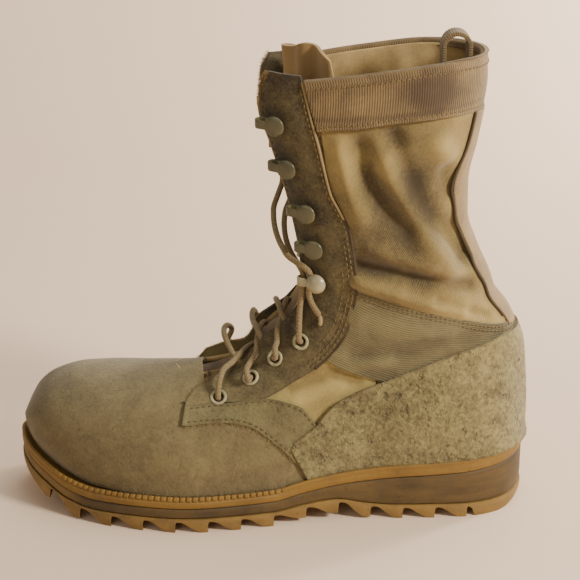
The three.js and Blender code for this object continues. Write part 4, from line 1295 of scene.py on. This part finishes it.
def half_shell(name, s_range, near, far, across, along, lift, finish, thickness, replaced=(),
               tone=None):
    """A shell of two halves joined along the boot's middle line; near and far give w at s on each side."""
    halves = []
    for _, side in SIDES:
        s_at = s_range(side)
        w0, w1 = near(s_at, side), far(s_at, side)

        def shape(u, v, s_at=s_at, w0=w0, w1=w1, side=side):
            k = v * (len(s_at) - 1)
            grid = np.arange(len(s_at))
            s = np.interp(k, grid, s_at)
            low, high = np.interp(k, grid, w0), np.interp(k, grid, w1)
            w = np.maximum(high * u, low)
            return lifted(s, w if side < 0 else 360 - w, lift)
        halves.append(grid_mesh(name, across, along, shape, outward=boot_middle, tone=tone, real=""))
    mesh = join_meshes(name, halves, weld=0.02)
    piece = new_object(name, mesh, finish, replaced)
    return thicken(piece, thickness)


def vamp_lift(points):
    return waves(points, 46, 3) * 0.35 + seat_lift(points)


def folds_of(points, outer, inner):
    return fold_height(points, outer, -1) + fold_height(points, inner, 1)


def seat_lift(points):
    """The upper spreads a little over the welt at its foot, and tucks in behind it round the toe."""
    x = points[..., 0]
    down = np.clip((welt_top(x) + 12 - points[..., 2]) / 12, 0, 1.1)
    return (2.7 - 3.9 * smoothstep(-72, -128, x)) * down ** 2


# ---------------------------------------------------------------- edges of the panels, in the side view
TAIL_UPPER = [(-50.5, 72), (-36, 73), (-26, 73.5), (-3.5, 76.5), (8, 75.5), (20.3, 71), (27.5, 62.5),
              (33, 55)]
TAIL_LOWER = [(-52, 63.4), (-38.5, 64), (-25, 64.2), (-16.5, 63.2), (-8.2, 60.5), (0.7, 54.3), (8.9, 46.9),
              (12.4, 43.1), (16.8, 37.2), (20.6, 30.4), (23.4, 25)]
STAY_FRONT = [(-50, 72.4, 33.6), (-48.6, 76.7, 29), (-43.5, 80.4, 23.2), (-36.6, 83.3, 19.5), (-30, 87, 16),
              (-20, 90, 15), (-11, 97, 12.5), (-4, 106, 12.5), (2, 112, 14), (16, 129, 15.5), (20, 133, 17),
              (21, 149, 17.5), (19.6, 157, 17), (15, 173, 16), (12, 192, 16), (4, 216, 16.5), (-3, 240, 17.5),
              (-6, 252, 18.5), (-6, 264, 20.5), (-2, 273, 24.5)]
STAY_REAR = [(-50.4, 72), (-33, 73.4), (-3.5, 76.5), (12, 85), (26, 94), (36.3, 104), (43.8, 115), (48, 128),
             (50.7, 145), (50.4, 152), (49, 163.5), (46, 182), (41, 193), (35, 205), (27, 237), (22, 256),
             (17.8, 272)]
COUNTER_TOP = [(12.4, 48.6), (15.6, 53.2), (20.3, 56.6), (28.1, 62.4), (33, 68.4), (38, 73.5), (49.5, 80.5),
               (72.6, 90.5), (100, 101.5), (125, 109.5), (140, 113.5)]
COUNTER_BACK = (147.5, 114)
COUNTER_LOW_X = [22.7, 26, 32, 42, 56, 72, 90, 108, 124, 138, 147, 153]
QUARTER_TOP = [(-8, 78), (14, 93), (30, 106), (48, 112), (66, 104)]
QUARTER_LOW = [(-14, 71), (10, 66), (24, 56), (40, 62), (60, 74)]
UNDERLAY_TOP = [(5, 56), (14, 48), (26, 42)]
WEB_TOP = [(43, 148.5), (51, 146), (74, 138), (99, 131), (120, 124.5), (135, 120)]
WEB_TOP_BACK = (145.2, 119)
WEB_LOW = [(29, 105), (32, 101.6), (39, 97), (47.6, 93.4), (71.9, 88), (100, 97), (125, 105), (140, 109)]
WEB_LOW_BACK = (148.5, 110)
BAND_LOW = [(27.4, 241.3), (34, 242.2), (49.5, 243.7), (71, 247), (97, 248.6), (112, 248.6)]
BAND_LOW_BACK = (123, 248.2)
BAND_TOP = [(20, 267.8), (34, 269.8), (64, 273.8), (96, 277.6), (112, 278.2)]
BAND_TOP_BACK = (124.5, 278.3)
SHAFT_LOW = [(38, 140), (51, 137), (74, 129), (99, 121), (125, 114), (138, 112)]
SHAFT_TOP = [(28, 247), (49.5, 248), (71, 251), (97, 252.4), (112, 252.6)]

# Folds of the shaft's canvas: height (+) or depth (-), half width, and their lines.
FOLD_DEPTH = 1.8
OUTER_FOLDS = [
    (-3.4, 8.0, [(50, 231), (52.5, 223), (57, 209), (68.7, 194), (79, 183)]),
    (-2.8, 7.0, [(69, 240), (75.4, 219), (87, 195), (103, 180), (113, 165)]),
    (-1.8, 5.5, [(100.8, 217), (103, 204)]),
    (2.6, 9.0, [(37.7, 232), (44, 210), (52, 193)]),
    (2.8, 8.0, [(66, 226), (74, 206), (82, 193)]),
    (2.4, 8.0, [(88, 181), (99, 165), (104, 156)]),
    (2.2, 7.0, [(95, 232), (99, 226)]),
    (-2.6, 4.2, [(52, 160.5), (70, 157), (87, 153), (104, 149.5), (118, 146)]),
    (2.6, 5.0, [(50, 151.5), (62, 147.8), (76, 143.6), (94, 137), (112, 131)]),
    (-1.5, 3.0, [(98, 139.5), (112, 133), (128, 126.5)]),
    (1.4, 5.0, [(58, 172), (76, 167), (92, 160)]),
]
INNER_FOLDS = [
    (-3.2, 8.0, [(46, 232), (56, 212), (70, 200), (86, 190)]),
    (-2.6, 7.0, [(86, 236), (84, 214), (95, 192), (108, 176)]),
    (2.4, 8.5, [(62, 236), (70, 220)]),
    (2.4, 8.0, [(54, 192), (72, 182), (90, 168)]),
    (-2.4, 4.4, [(54, 166), (76, 160), (98, 152), (116, 148)]),
    (2.4, 5.0, [(52, 154), (76, 148), (100, 138)]),
    (-1.4, 3.4, [(60, 140), (84, 136), (106, 130)]),
]
ANKLE_FOLDS = [
    (-1.2, 4.0, [(50, 106), (66, 106.5), (88.5, 111.5), (112, 114.5), (134, 116)]),
    (1.0, 5.0, [(36, 101), (47, 97), (56, 99), (70, 101.5)]),
    (-1.0, 3.0, [(52, 92), (62, 93), (72, 93)]),
    (1.0, 7.0, [(54, 127), (80, 122), (104, 118)]),
]
QUARTER_FOLDS = [
    (-1.5, 2.6, [(20, 91), (32, 93), (44, 90), (52, 88)]),
    (-1.0, 2.2, [(12, 82), (22, 86), (30, 88)]),
    (0.9, 3.5, [(16, 76), (30, 82), (42, 84)]),
]
# Line of the stretch of canvas beside the facing that is painted in shade, and of the rubbed stretch of the
# facing.
SHADED_CANVAS = [(38, 196), (46, 184), (58, 172), (78, 170), (94, 162), (112, 152)]
RUBBED_STAY = [(41, 152), (43, 138), (38, 122), (32, 110)]


def folds_on_shaft(points):
    return FOLD_DEPTH * folds_of(points, OUTER_FOLDS, INNER_FOLDS)


def painted_fold_shading(points):
    """Painted shade in the fold troughs, along a stretch beside the facing and over a patch mid-shaft;
    painted light on the ridges, towards the back and high at the front.
    """
    x, z = points[..., 0], points[..., 2]

    def patch(at_x, at_z, spread):
        return np.exp(-np.hypot(x - at_x, (z - at_z) * 0.8) ** 2 / spread)
    dark = np.exp(-(polyline_distance(x, z, SHADED_CANVAS) / 23) ** 2) * 0.34 + patch(90, 212, 320) * 0.30
    light = smoothstep(84, 108, x) * 0.46 + patch(42, 226, 220) * 0.35
    return np.clip(folds_on_shaft(points) * 0.07, -0.30, 0.24) - dark + light - 0.02


def frame_taper(u, v, across_mm, along_mm, reach):
    """1 in the middle of a panel, down to 0 at its edges."""
    return (smoothstep(0, reach / across_mm, u) * smoothstep(0, reach / across_mm, 1 - u)
            * smoothstep(0, reach / along_mm, v) * smoothstep(0, reach / along_mm, 1 - v))


# ---------------------------------------------------------------- vamp, linings, insides
def feather(s, side, raised=-0.5, end_x=200.0):
    """How far round the section at s the upper comes down to the welt, or to end_x if that is sooner."""
    def on_upper(p):
        return (p[..., 2] > welt_top(p[..., 0]) + raised) & (p[..., 0] < end_x)
    if side < 0:
        return w_where(s, on_upper, 40, 180, 16)
    return 360 - w_where(s, on_upper, 320, 180, 16)


VAMP_REAR = [(-37, 72), (-33, 68.5), (-26, 67.5), (-14, 65), (-1, 58), (8, 50.5)]
VAMP_END_X = 8.2


def make_vamp():
    x, z = np.array(VAMP_REAR).T

    def s_range(side):
        s_rear, _ = chart(x, z, side)
        even = np.linspace(TOE_S + 0.02, s_rear[0] - 1.6, 106)
        return np.concatenate([even, np.linspace(s_rear[0] - 0.8, s_rear[-1], 56)])

    def near(s, side):
        s_rear, w_rear = chart(x, z, side)
        w_rear = w_rear if side < 0 else 360 - w_rear
        opening = smoothstep(s_rear[0] - 1.4, s_rear[0], s)
        return np.interp(s, s_rear, w_rear) * opening

    def far(s, side):
        return np.maximum(feather(s, side, end_x=VAMP_END_X), near(s, side) + 0.4)

    # Painted shade over the toe, away from the lamp; a little darker towards the bottom.
    def vamp_tone(points):
        toe = smoothstep(-110, -156, points[:, 0]) * -0.10
        low = smoothstep(46, 30, points[:, 2]) * -0.06
        return toe + low
    half_shell("vamp", s_range, near, far, 96, 161, vamp_lift, SUEDE_FINE, 1.4, ("upper",),
               tone=vamp_tone)


# Lining's front edge: place along the boot, and distance from the middle line.
LINING_EDGE = np.array([(-60, 0), (-50, 14), (20, 14), (60, 15), (180, 15), (222, 17)], float)
LINING_TOP = 256


def make_lining():
    def s_range(side):
        return np.linspace(TOE_CENTRE_X + 2, LEVEL_S + (LINING_TOP - TURN_Z), 180)

    def near(s, side):
        w = w_where(s, reach_test(np.interp(s, *LINING_EDGE.T)), 0, 100)
        return np.where(s < LINING_EDGE[0, 0], 0, w)

    def far(s, side):
        return feather(s, side, 2.5)

    def lift(points):
        on_shaft = smoothstep(104, 124, points[..., 2]) * smoothstep(262, 244, points[..., 2])
        return -2.7 + np.minimum(folds_on_shaft(points), 0) * on_shaft + seat_lift(points) * 0.8
    # The lining is painted in shade low down, where it sits in the recess by the welt.
    half_shell("cloth_lining", s_range, near, far, 56, 230, lift, LINING, 0.6,
               tone=lambda p: -0.9 * smoothstep(12, 4, p[:, 2] - welt_top(p[:, 0])))


def cover_insole():
    """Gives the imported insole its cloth."""
    insole = bpy.data.objects["insole"]
    insole.data.materials.clear()
    insole.data.materials.append(LINING)


# Tongue's edges: place along the boot, and distance from the middle line; and the heights of its two ends.
TONGUE_EDGE = np.array([(-64, 24), (-44, 22), (-10, 25), (60, 27), (140, 29), (200, 28), (250, 25)], float)
TONGUE_TOPS = {-1: 287, 1: 277}
TONGUE_WIDTH = 56


def make_tongue():
    """Padded cloth tongue; its top leans back into the boot and is pushed into pleats."""
    def rail(side):
        low_s, high_s = TONGUE_EDGE[0, 0], LEVEL_S + (TONGUE_TOPS[side] - TURN_Z)

        def line(t):
            s = low_s + (high_s - low_s) * t
            return s, -side * w_where(s, reach_test(np.interp(s, *TONGUE_EDGE.T)), 0, 120)
        return sampled(line)

    outer, inner = rail(-1), rail(1)

    def shape(u, v):
        s, w = cross_rails(outer, inner, v, u)
        uneven = 9 * np.abs(2 * u - 1) ** 5 + np.sin(u * 17) * 0.9
        s = s - smoothstep(LEVEL_S + 80, LEVEL_S + 120, s) * uneven
        across = (u - 0.5) * TONGUE_WIDTH
        top = smoothstep(LEVEL_S + 40, LEVEL_S + 108, s)
        pleats = np.sin(across / 2.4 + 0.8 * np.sin(s / 13)) * 1.9 + np.sin(across / 5.3 + 1.2) * 2.6
        wrinkle = np.sin(s / 5.2 + 1.6 * np.sin(across / 11)) * 0.5 * smoothstep(0, 60, s) * (1 - top)
        points = lifted(s, w, lambda p: -4.4 + top * pleats + wrinkle)
        lean = smoothstep(206, 272, points[..., 2]) ** 1.2 * (23.5 - 0.38 * points[..., 1])
        return points + lean[..., None] * (1, 0, 0)

    # Painted shade over the tongue's front end, where it lies in the throat; lighter towards the top, and a
    # little darker lower down.
    def tongue_tone(p):
        front = smoothstep(-28, -36, p[:, 0]) * -0.6
        return front + smoothstep(225, 270, p[:, 2]) * 0.5 - smoothstep(200, 120, p[:, 2]) * 0.10
    mesh = grid_mesh("tongue", 60, 300, shape, outward=boot_middle, tone=tongue_tone)
    piece = new_object("tongue_cloth", mesh, TONGUE_CLOTH, ("tongue",))
    thicken(piece, 2.0)
    soften(piece, 0.6)


# ---------------------------------------------------------------- suede and canvas panels
def make_side_panels():
    """The panels that are there once on each side, from the lowest layer to the top one."""
    for name, side in SIDES:
        panel(f"quarter_canvas_{name}", side_rail(QUARTER_TOP, side), side_rail(QUARTER_LOW, side), 30, 60,
              quarter_lift, CANVAS_LOW, 1.0, tone=quarter_fold_shading)
        foot = [(x, float(welt_top(x)) - 0.3) for x in (5, 12, 19, 26)]
        panel(f"quarter_underlay_{name}", side_rail(UNDERLAY_TOP, side), side_rail(foot, side), 24, 24,
              lambda p, u, v: vamp_lift(p) - 0.12, SUEDE_FINE, 1.0)
        panel(f"tail_strip_{name}", side_rail(TAIL_UPPER, side), side_rail(TAIL_LOWER, side), 24, 110,
              lambda p, u, v: 0.95 + waves(p, 22, 7) * 0.25 + 1.3 * smoothstep(0.04, 0, v) + seat_lift(p),
              SUEDE_STAY, 1.4)
        stay = panel(f"eyestay_{name}", reach_rail(STAY_FRONT, side), side_rail(STAY_REAR, side), 40, 300,
                     lambda p, u, v, side=side: stay_lift(p, u, side) + 1.2 * smoothstep(0.012, 0, v),
                     SUEDE_FACING, 1.6, tone=facing_tone)
        punch(stay, side)


def quarter_folds(points):
    """Folds of the quarter's canvas, never so deep that what is under it shows."""
    return np.maximum(folds_of(points, QUARTER_FOLDS, QUARTER_FOLDS), -0.75)


def quarter_lift(points, u, v):
    return -1.3 + waves(points, 24, 5) * 0.35 + quarter_folds(points)


# Painted shade in the quarter's fold troughs and painted light on its ridges.
def quarter_fold_shading(p):
    return np.clip(quarter_folds(p) * 0.45, -0.7, 0.2)


def punch(piece, side):
    """Cuts the lace holes through an eyestay."""
    bm = bmesh.new()
    for row in EYELETS:
        hole = bmesh.new()
        bmesh.ops.create_cone(hole, cap_ends=True, segments=28, radius1=3.3, radius2=3.3, depth=12)
        put_on_skin(hole, row, side)
        made = mesh_from(hole, "hole")
        bm.from_mesh(made)
        bpy.data.meshes.remove(made)
    cutter = bpy.data.objects.new("holes", mesh_from(bm, "holes"))
    bpy.context.scene.collection.objects.link(cutter)
    cut = piece.modifiers.new("holes", "BOOLEAN")
    cut.operation, cut.object, cut.solver = "DIFFERENCE", cutter, "EXACT"
    solid = bpy.data.meshes.new_from_object(piece.evaluated_get(bpy.context.evaluated_depsgraph_get()))
    piece.modifiers.clear()
    piece.data = solid
    bpy.data.objects.remove(cutter)
    solid.set_sharp_from_angle(angle=math.radians(55))


def stay_lift(points, u, side):
    """Height of the eyestay; the inner one's slack front flap stands up off the tongue."""
    x, z = points[..., 0], points[..., 2]
    base = 0.85 + waves(points, 20, 9) * 0.22 + 0.5 * np.sin(u * math.pi) ** 2 * smoothstep(95, 120, z)
    if side < 0:
        return base
    flap = np.interp(x, [-52, -46, -40, -25, -8, 8, 20], [0, 2, 7, 8, 6, 3, 0]) * (z < 130)
    return base + flap * np.clip(1 - u / 0.42, 0, 1) ** 1.3


def facing_tone(p):
    """Lighter low down and along a rubbed stretch; above the lower stretch it is darker, painted shade over
    the facing round the upper eyelets; darker again at the very top; the inner flap lighter.
    """
    low = smoothstep(104, 78, p[:, 2]) * 0.22 - 0.26
    low = low + np.exp(-(polyline_distance(p[:, 0], p[:, 2], RUBBED_STAY) / 7) ** 2) * 0.22
    top = smoothstep(170, 250, p[:, 2]) * 0.04 - smoothstep(260, 271, p[:, 2]) * 0.30
    flap = smoothstep(0, 6, p[:, 1]) * smoothstep(118, 100, p[:, 2]) * 0.9
    return low + top + flap


def ankle_folds(points):
    """Folds of the ankle webbing, never so deep that what is under it shows."""
    return np.maximum(1.5 * folds_of(points, ANKLE_FOLDS, ANKLE_FOLDS), -0.9)


def web_lift(points, u, v):
    return 0.3 + (ankle_folds(points) + waves(points, 26, 11) * 0.4) * frame_taper(u, v, 50, 260, 9)


def counter_lift(points, u, v):
    return 1.75 + waves(points, 28, 13) * 0.45 + seat_lift(points) * 0.85


def shaft_lift(points, u, v):
    """The shaft's canvas folds freely, and lies low where the ankle webbing covers it."""
    creased = (folds_on_shaft(points) + waves(points, 34, 17) * 0.5) * frame_taper(u, v, 115, 230, 13)
    covered = smoothstep(1.0, 4.0, np.interp(points[..., 0], *np.array(WEB_TOP).T) - points[..., 2])
    return -0.5 - 1.5 * covered + (1 - covered) * creased


def make_round_panels():
    """The panels that run from the outer side round the back to the inner side."""
    # The ankle webbing's tone is painted shade in its fold troughs and painted light on its ridges.
    panel("ankle_webbing", loop_rail(WEB_TOP, WEB_TOP_BACK), loop_rail(WEB_LOW, WEB_LOW_BACK), 50, 240,
          web_lift, ANKLE_WEBBING, 1.2, tone=lambda p: np.clip(ankle_folds(p) * 0.22, -0.5, 0.3))
    bottom = [(x, float(welt_top(x)) - 0.5) for x in COUNTER_LOW_X]
    back = (156.2, float(welt_top(157)) - 0.3)
    # The counter's tone is painted light: lighter towards the back, on the side the lamp is on.
    panel("heel_counter_suede", loop_rail(COUNTER_TOP, COUNTER_BACK), loop_rail(bottom, back), 110, 320,
          counter_lift, SUEDE_ROUGH, 1.7, ("heel_counter",),
          tone=lambda p: smoothstep(90, 140, p[:, 0]) * 0.12 - 0.04)
    panel("shaft_canvas", loop_rail(SHAFT_TOP, (122.5, 252.6)), loop_rail(SHAFT_LOW, (148, 112)), 144, 310,
          shaft_lift, CANVAS, 1.2, tone=painted_fold_shading)


def band_pull(points):
    """The band is drawn in a little at the back."""
    return 2.3 * smoothstep(86, 114, points[..., 0])


def band_tone(p):
    """Along the band: a dark worn patch on the outer side; painted light towards the back, on the side the
    lamp is on; and a little darker along a line above its lower edge.
    """
    outer = p[:, 1] < 0
    dark = np.exp(-((p[:, 0] - 90) / 14) ** 2 - ((p[:, 2] - 264) / 11) ** 2) * outer
    # Painted light: the band is lighter towards the back.
    light = smoothstep(98, 118, p[:, 0])
    seam = smoothstep(2.5, 0, np.abs(p[:, 2] - 246 - 0.075 * p[:, 0]))
    return 0.20 * light - 1.05 * dark - 0.25 * seam


def face_collar_out(mesh):
    """Turns the band's faces so that its outer part looks outward."""
    polygon = max(mesh.polygons, key=lambda f: -f.center[1] - 4 * abs(f.center[2] - 0.262))
    if polygon.normal[1] > 0:
        mesh.flip_normals()


# The band's rows of faces: up its outer side, over its rolled top, and down inside.
BAND_OUTER_ROWS, BAND_ROLL_ROWS, BAND_INNER_ROWS = 36, 12, 4
BAND_ROLL, BAND_WIDTH = 2.15, 33


def make_collar_band():
    top, low = sampled(loop_rail(BAND_TOP, BAND_TOP_BACK)), sampled(loop_rail(BAND_LOW, BAND_LOW_BACK))
    rows = BAND_OUTER_ROWS + BAND_ROLL_ROWS + BAND_INNER_ROWS

    def shape(u, v):
        row = u * rows
        up = np.clip(row / BAND_OUTER_ROWS, 0, 1)
        turn = np.clip((row - BAND_OUTER_ROWS) / BAND_ROLL_ROWS, 0, 1) * math.pi
        down = np.clip((row - BAND_OUTER_ROWS - BAND_ROLL_ROWS) / BAND_INNER_ROWS, 0, 1)
        s, w = cross_rails(low, top, v, up)
        s = s + BAND_ROLL * np.sin(turn) - down * 2.5
        height = 1.9 - BAND_ROLL * (1 - np.cos(turn)) - 0.2 * down
        low_ridge = 0.5 * np.exp(-((up * BAND_WIDTH - 1.2) / 0.9) ** 2)
        top_ridge = 0.35 * np.exp(-((up * BAND_WIDTH - 30.5) / 0.8) ** 2)
        height = height + (low_ridge + top_ridge) * (down <= 0)
        loose = 0.45 * (1 - smoothstep(0.4, 1, down))
        return lifted(s, w, lambda p: height - band_pull(p) + waves(p, 34, 19) * loose)
    mesh = grid_mesh("collar_band", rows, 300, shape, real="", tone=band_tone)
    face_collar_out(mesh)
    piece = new_object("collar_webbing", mesh, WEBBING, ("collar_band",))
    thicken(piece, 1.2)


def make_collar_lining():
    low, top = [(x, z - 32) for x, z in BAND_TOP], [(x, z - 0.6) for x, z in BAND_TOP]
    panel("collar_lining", loop_rail(top, (124.5, 277.7)), loop_rail(low, (120, 246.3)), 34, 220,
          lambda p, u, v: -2.9 + waves(p, 22, 23) * 0.5 * smoothstep(0, 0.2, u), LINING, 0.8,
          tone=lambda p: 0.18 + waves(p, 26, 29) * 0.35)


# Tape up the back of the shaft: height, half-width.
TAPE_HALF = [(249, 21), (234, 22), (217, 25), (205, 26), (188, 24), (177, 20.5), (164, 18.5), (155, 20),
             (140, 17.5), (128, 17), (116, 15)]


def tape_rail(side, extra=0.0):
    """Edge of the tape up the back of the shaft."""
    z, wide = np.array(TAPE_HALF, float).T
    angle = np.arctan2(between(SHAFT_FORM, SHAFT_BACK, z) - TURN_X, TURN_Z - z)
    turned_s = TURN_X + TURN_R * np.clip(angle, 0, math.pi / 2)
    s_all = np.where(z < TURN_Z, turned_s, LEVEL_S + (z - TURN_Z))
    reach_at = table_rail(np.linspace(0, 1, len(z)), s_all, wide)

    def rail(t):
        s, reach = reach_at(t)
        w = w_where(s, reach_test(reach + extra), 180, 95)
        return s, (w if side < 0 else 360 - w)
    return rail


def make_backstay():
    def lift(points, u, v):
        return 0.9 + folds_on_shaft(points) * 0.25 * smoothstep(0, 0.1, v) * smoothstep(1, 0.9, v)
    panel("backstay_tape", tape_rail(-1), tape_rail(1), 40, 150, lift, BACKSTAY_TAPE, 1.1)


def make_pull_loop():
    """A webbing loop sewn inside the back of the collar, standing up over it."""
    front, rear, foot, top, thick, width = 98, 115.5, 264, 291, 2.6, 14
    radius = (rear - front) / 2
    middle = (front + rear) / 2
    line = [(front, foot), (front, (foot + top - radius) / 2)]
    line += [(middle - radius * math.cos(a), top - radius + radius * math.sin(a))
             for a in np.linspace(0, math.pi, 13)]
    line += [(rear, (foot + top - radius) / 2), (rear, foot)]
    path = smooth_path([(x, 0, z) for x, z in line], 0.8)
    count = len(path) - 1

    def shape(u, v):
        place = path[np.rint(v * count).astype(int)]
        return np.stack([place[..., 0], place[..., 1] + (u - 0.5) * width, place[..., 2]], -1)

    def inside_loop(points):
        return np.tile([middle, 0, foot + 8], (len(points), 1))
    mesh = grid_mesh("pull_loop", 14, count, shape, outward=inside_loop)
    piece = new_object("pull_loop_webbing", mesh, WEBBING, ("pull_loop",))
    thicken(piece, thick)
    soften(piece, 0.35)


make_vamp()
make_lining()
cover_insole()
make_tongue()
make_side_panels()
make_round_panels()
make_backstay()
make_collar_band()
make_collar_lining()
make_pull_loop()


# ---------------------------------------------------------------- seams, stitches, piping and frayed edges
def line_on_skin(rail, lift, span=(0, 1), count=300):
    """Points on a rail between two shares of its length, raised over the form; and their outward ways.

    lift is a number or takes the points.
    """
    s, w = rail(np.linspace(span[0], span[1], count))
    points, start, _ = skin_rays(s, w)
    eps = 0.6
    around = skin(s, w + eps) - skin(s, w - eps)
    along = skin(s + eps, w) - skin(s - eps, w)
    normal = np.cross(around, along)
    normal /= np.maximum(np.linalg.norm(normal, axis=1, keepdims=True), 1e-9)
    normal *= np.sign(np.sum(normal * (points - start), 1, keepdims=True))
    raised = lift(points) if callable(lift) else lift
    return points + normal * np.asarray(raised)[..., None], normal


def inset_rail(first, second, distance):
    """The first rail moved towards the second by a distance in millimetres."""
    def rail(t):
        (s0, w0), (s1, w1) = first(t), second(t)
        gap = np.linalg.norm(skin(s1, w1) - skin(s0, w0), axis=1)
        return cross_rails(first, second, t, np.clip(distance / np.maximum(gap, 1), 0, 1))
    return rail


SIDEWAYS = Matrix.Rotation(math.radians(90), 4, "Y")
STITCH_WIDTH, STITCH_HEIGHT = 0.42, 0.34


def stitch_row(rows, path, normal, length=2.5, gap=1.2):
    """Adds separate thread stitches along a path to a list of meshes."""
    def at_run(table, at):
        return np.array([np.interp(at, run, table[:, k]) for k in range(3)])
    bm = bmesh.new()
    run = run_along(path)
    for at in np.arange(length / 2, run[-1] - length / 2, length + gap):
        ahead = unit(at_run(path, at + 0.6) - at_run(path, at - 0.6))
        up = at_run(normal, at)
        up = unit(up - ahead * up.dot(ahead))
        matrix = Matrix.Identity(4)
        sizes = (ahead, length / 2), (np.cross(up, ahead), STITCH_WIDTH), (up, STITCH_HEIGHT)
        for column, (way, size) in enumerate(sizes):
            for i in range(3):
                matrix[i][column] = way[i] * size * MM
        matrix.translation = metres(at_run(path, at))
        bmesh.ops.create_uvsphere(bm, u_segments=6, v_segments=5, radius=1, matrix=matrix @ SIDEWAYS)
    rows.append(mesh_from(bm, "row"))


def make_stitches():
    light, dark = [], []

    def sew(rows, edge, other, distance, height, span, count=300, length=2.5, gap=1.2):
        """A row of stitches at a distance from one rail towards another."""
        stitch_row(rows, *line_on_skin(inset_rail(edge, other, distance), height, span, count), length, gap)
    for _, side in SIDES:
        upper, lower = sampled(side_rail(TAIL_UPPER, side)), sampled(side_rail(TAIL_LOWER, side))
        sew(dark, lower, upper, 2.2, lambda p: 1.25 + seat_lift(p), (0.03, 0.9))
        sew(dark, upper, lower, 1.6, 1.15, (0.03, 0.97))
        front, rear = sampled(reach_rail(STAY_FRONT, side)), sampled(side_rail(STAY_REAR, side))
        for distance, span in ((2.4, (0.30, 0.97)), (5.2, (0.30, 0.62)), (9.5, (0.36, 0.55))):
            sew(light, rear, front, distance, 1.3, span, 400)
        if side < 0:
            sew(dark, front, rear, 2.2, 1.1, (0.12, 0.95), 400)
    top, low = sampled(loop_rail(WEB_TOP, WEB_TOP_BACK)), sampled(loop_rail(WEB_LOW, WEB_LOW_BACK))
    for distance in (1.8, 4.2):
        sew(light, top, low, distance, 0.75, (0.02, 0.98), 500, 2.0, 0.9)
    high, bottom = sampled(loop_rail(BAND_TOP, BAND_TOP_BACK)), sampled(loop_rail(BAND_LOW, BAND_LOW_BACK))
    for edge, other, distance in ((bottom, high, 2.6), (high, bottom, 3.6)):
        sew(light, edge, other, distance, lambda p: 2.1 - band_pull(p), (0.01, 0.99), 500, 2.0, 1.0)
    new_object("light_stitches", join_meshes("light_stitches", light), THREAD)
    new_object("dark_stitches", join_meshes("dark_stitches", dark), SEAM_THREAD)


def make_piping():
    """Cord edges: light along the facing's rear edge above; dark along it below, a dark cord that is painted
    shade for the shadow line beside the canvas; dark up both sides of the tape; and a dark line in the vamp's
    slit, painted shade for the slit.
    """
    light, dark = [], []

    def lay(cords, rail, height, radius, every, step=1.0, span=(0, 1), count=300):
        """A cord along a rail, through every so many of its points."""
        path, _ = line_on_skin(rail, height, span, count)
        cords.append(tube_mesh("cord", smooth_path(path[::every], step), radius, 8))
    for _, side in SIDES:
        rear = sampled(side_rail(STAY_REAR, side))
        lay(light, rear, 0.9, 0.75, 6, span=(0.68, 0.995), count=160)
        # A dark cord along the facing's rear edge: painted shade for the shadow line beside the canvas.
        lay(dark, rear, 0.1, 1.0, 6, span=(0.30, 0.995))
        tape = sampled(tape_rail(side, 0.6))
        lay(dark, tape, lambda p: 0.25 + folds_on_shaft(p) * 0.45, 0.95, 4, span=(0.0, 0.97), count=200)
    flap = sampled(reach_rail(STAY_FRONT, 1))
    lay(light, flap, lambda p: stay_lift(p, 0.0, 1) - 0.7, 1.15, 4, 0.8, (0.035, 0.20), 120)
    # A dark line down the vamp's slit: painted shade for the slit.
    slit = side_rail([(-36.8, 87.4), (-37, 85.5), (-36.6, 83.4), (-37.4, 81.4)], -1)
    lay(dark, slit, 0.3, 0.55, 12, 0.8)
    new_object("light_piping", join_meshes("light_piping", light), PIPING)
    new_object("dark_piping_and_shadow_lines", join_meshes("dark_piping_and_shadow_lines", dark), DARK_CORD_AND_SHADOW)


def fray(tufts, rng, line, count, length, width=0.11):
    """Adds loose short fibres standing off an edge, given as line_on_skin gives it, to a list of meshes."""
    path, normal = line
    bm = bmesh.new()
    for _ in range(count):
        k = rng.integers(1, len(path) - 2)
        ahead = unit(path[k + 1] - path[k - 1])
        aside = np.cross(normal[k], ahead)
        way = unit(aside * rng.normal(0, 1) + normal[k] * rng.random() * 0.8 + ahead * rng.normal(0, 0.5))
        place = path[k] + aside * rng.normal(0, 0.8) * 0.5 + way * length * 0.35
        size = length * (0.35 + rng.random())
        matrix = Vector(way).to_track_quat("Z", "Y").to_matrix().to_4x4()
        matrix.translation = metres(place)
        bmesh.ops.create_cone(bm, cap_ends=True, segments=4, radius1=width * MM, radius2=width * 0.35 * MM,
                              depth=size * MM, matrix=matrix)
    tufts.append(mesh_from(bm, "tuft"))


def make_fray():
    rng = np.random.default_rng(41)
    tufts = []

    def by_welt(xs, above, side):
        return side_rail([(x, float(welt_top(x)) + above) for x in xs], side)
    for _, side in SIDES:
        front = sampled(reach_rail(STAY_FRONT, side))
        lower = sampled(side_rail(TAIL_LOWER, side))
        flap = line_on_skin(front, lambda p: stay_lift(p, 0.0, side) - 0.4, (0.0, 0.24))
        fray(tufts, rng, flap, 420, 2.1, 0.13)
        fray(tufts, rng, line_on_skin(lower, lambda p: 0.5 + seat_lift(p), (0.0, 0.8)), 380, 1.9, 0.13)
        fray(tufts, rng, line_on_skin(front, 0.9, (0.93, 0.999)), 340, 2.4, 0.14)
        vamp_foot = by_welt(np.linspace(-140, 8, 90), 0.6, side)
        fray(tufts, rng, line_on_skin(vamp_foot, seat_lift), 420, 1.3)
        counter_foot = by_welt(np.linspace(24, 150, 60), 0.5, side)
        fray(tufts, rng, line_on_skin(counter_foot, lambda p: 1.7 + seat_lift(p) * 0.85), 420, 1.3)
        fray(tufts, rng, line_on_skin(side_rail(COUNTER_TOP, side), 1.5), 160, 1.2)
    new_object("frayed_fibres", join_meshes("frayed_fibres", tufts), PIPING)


make_stitches()
make_piping()
make_fray()
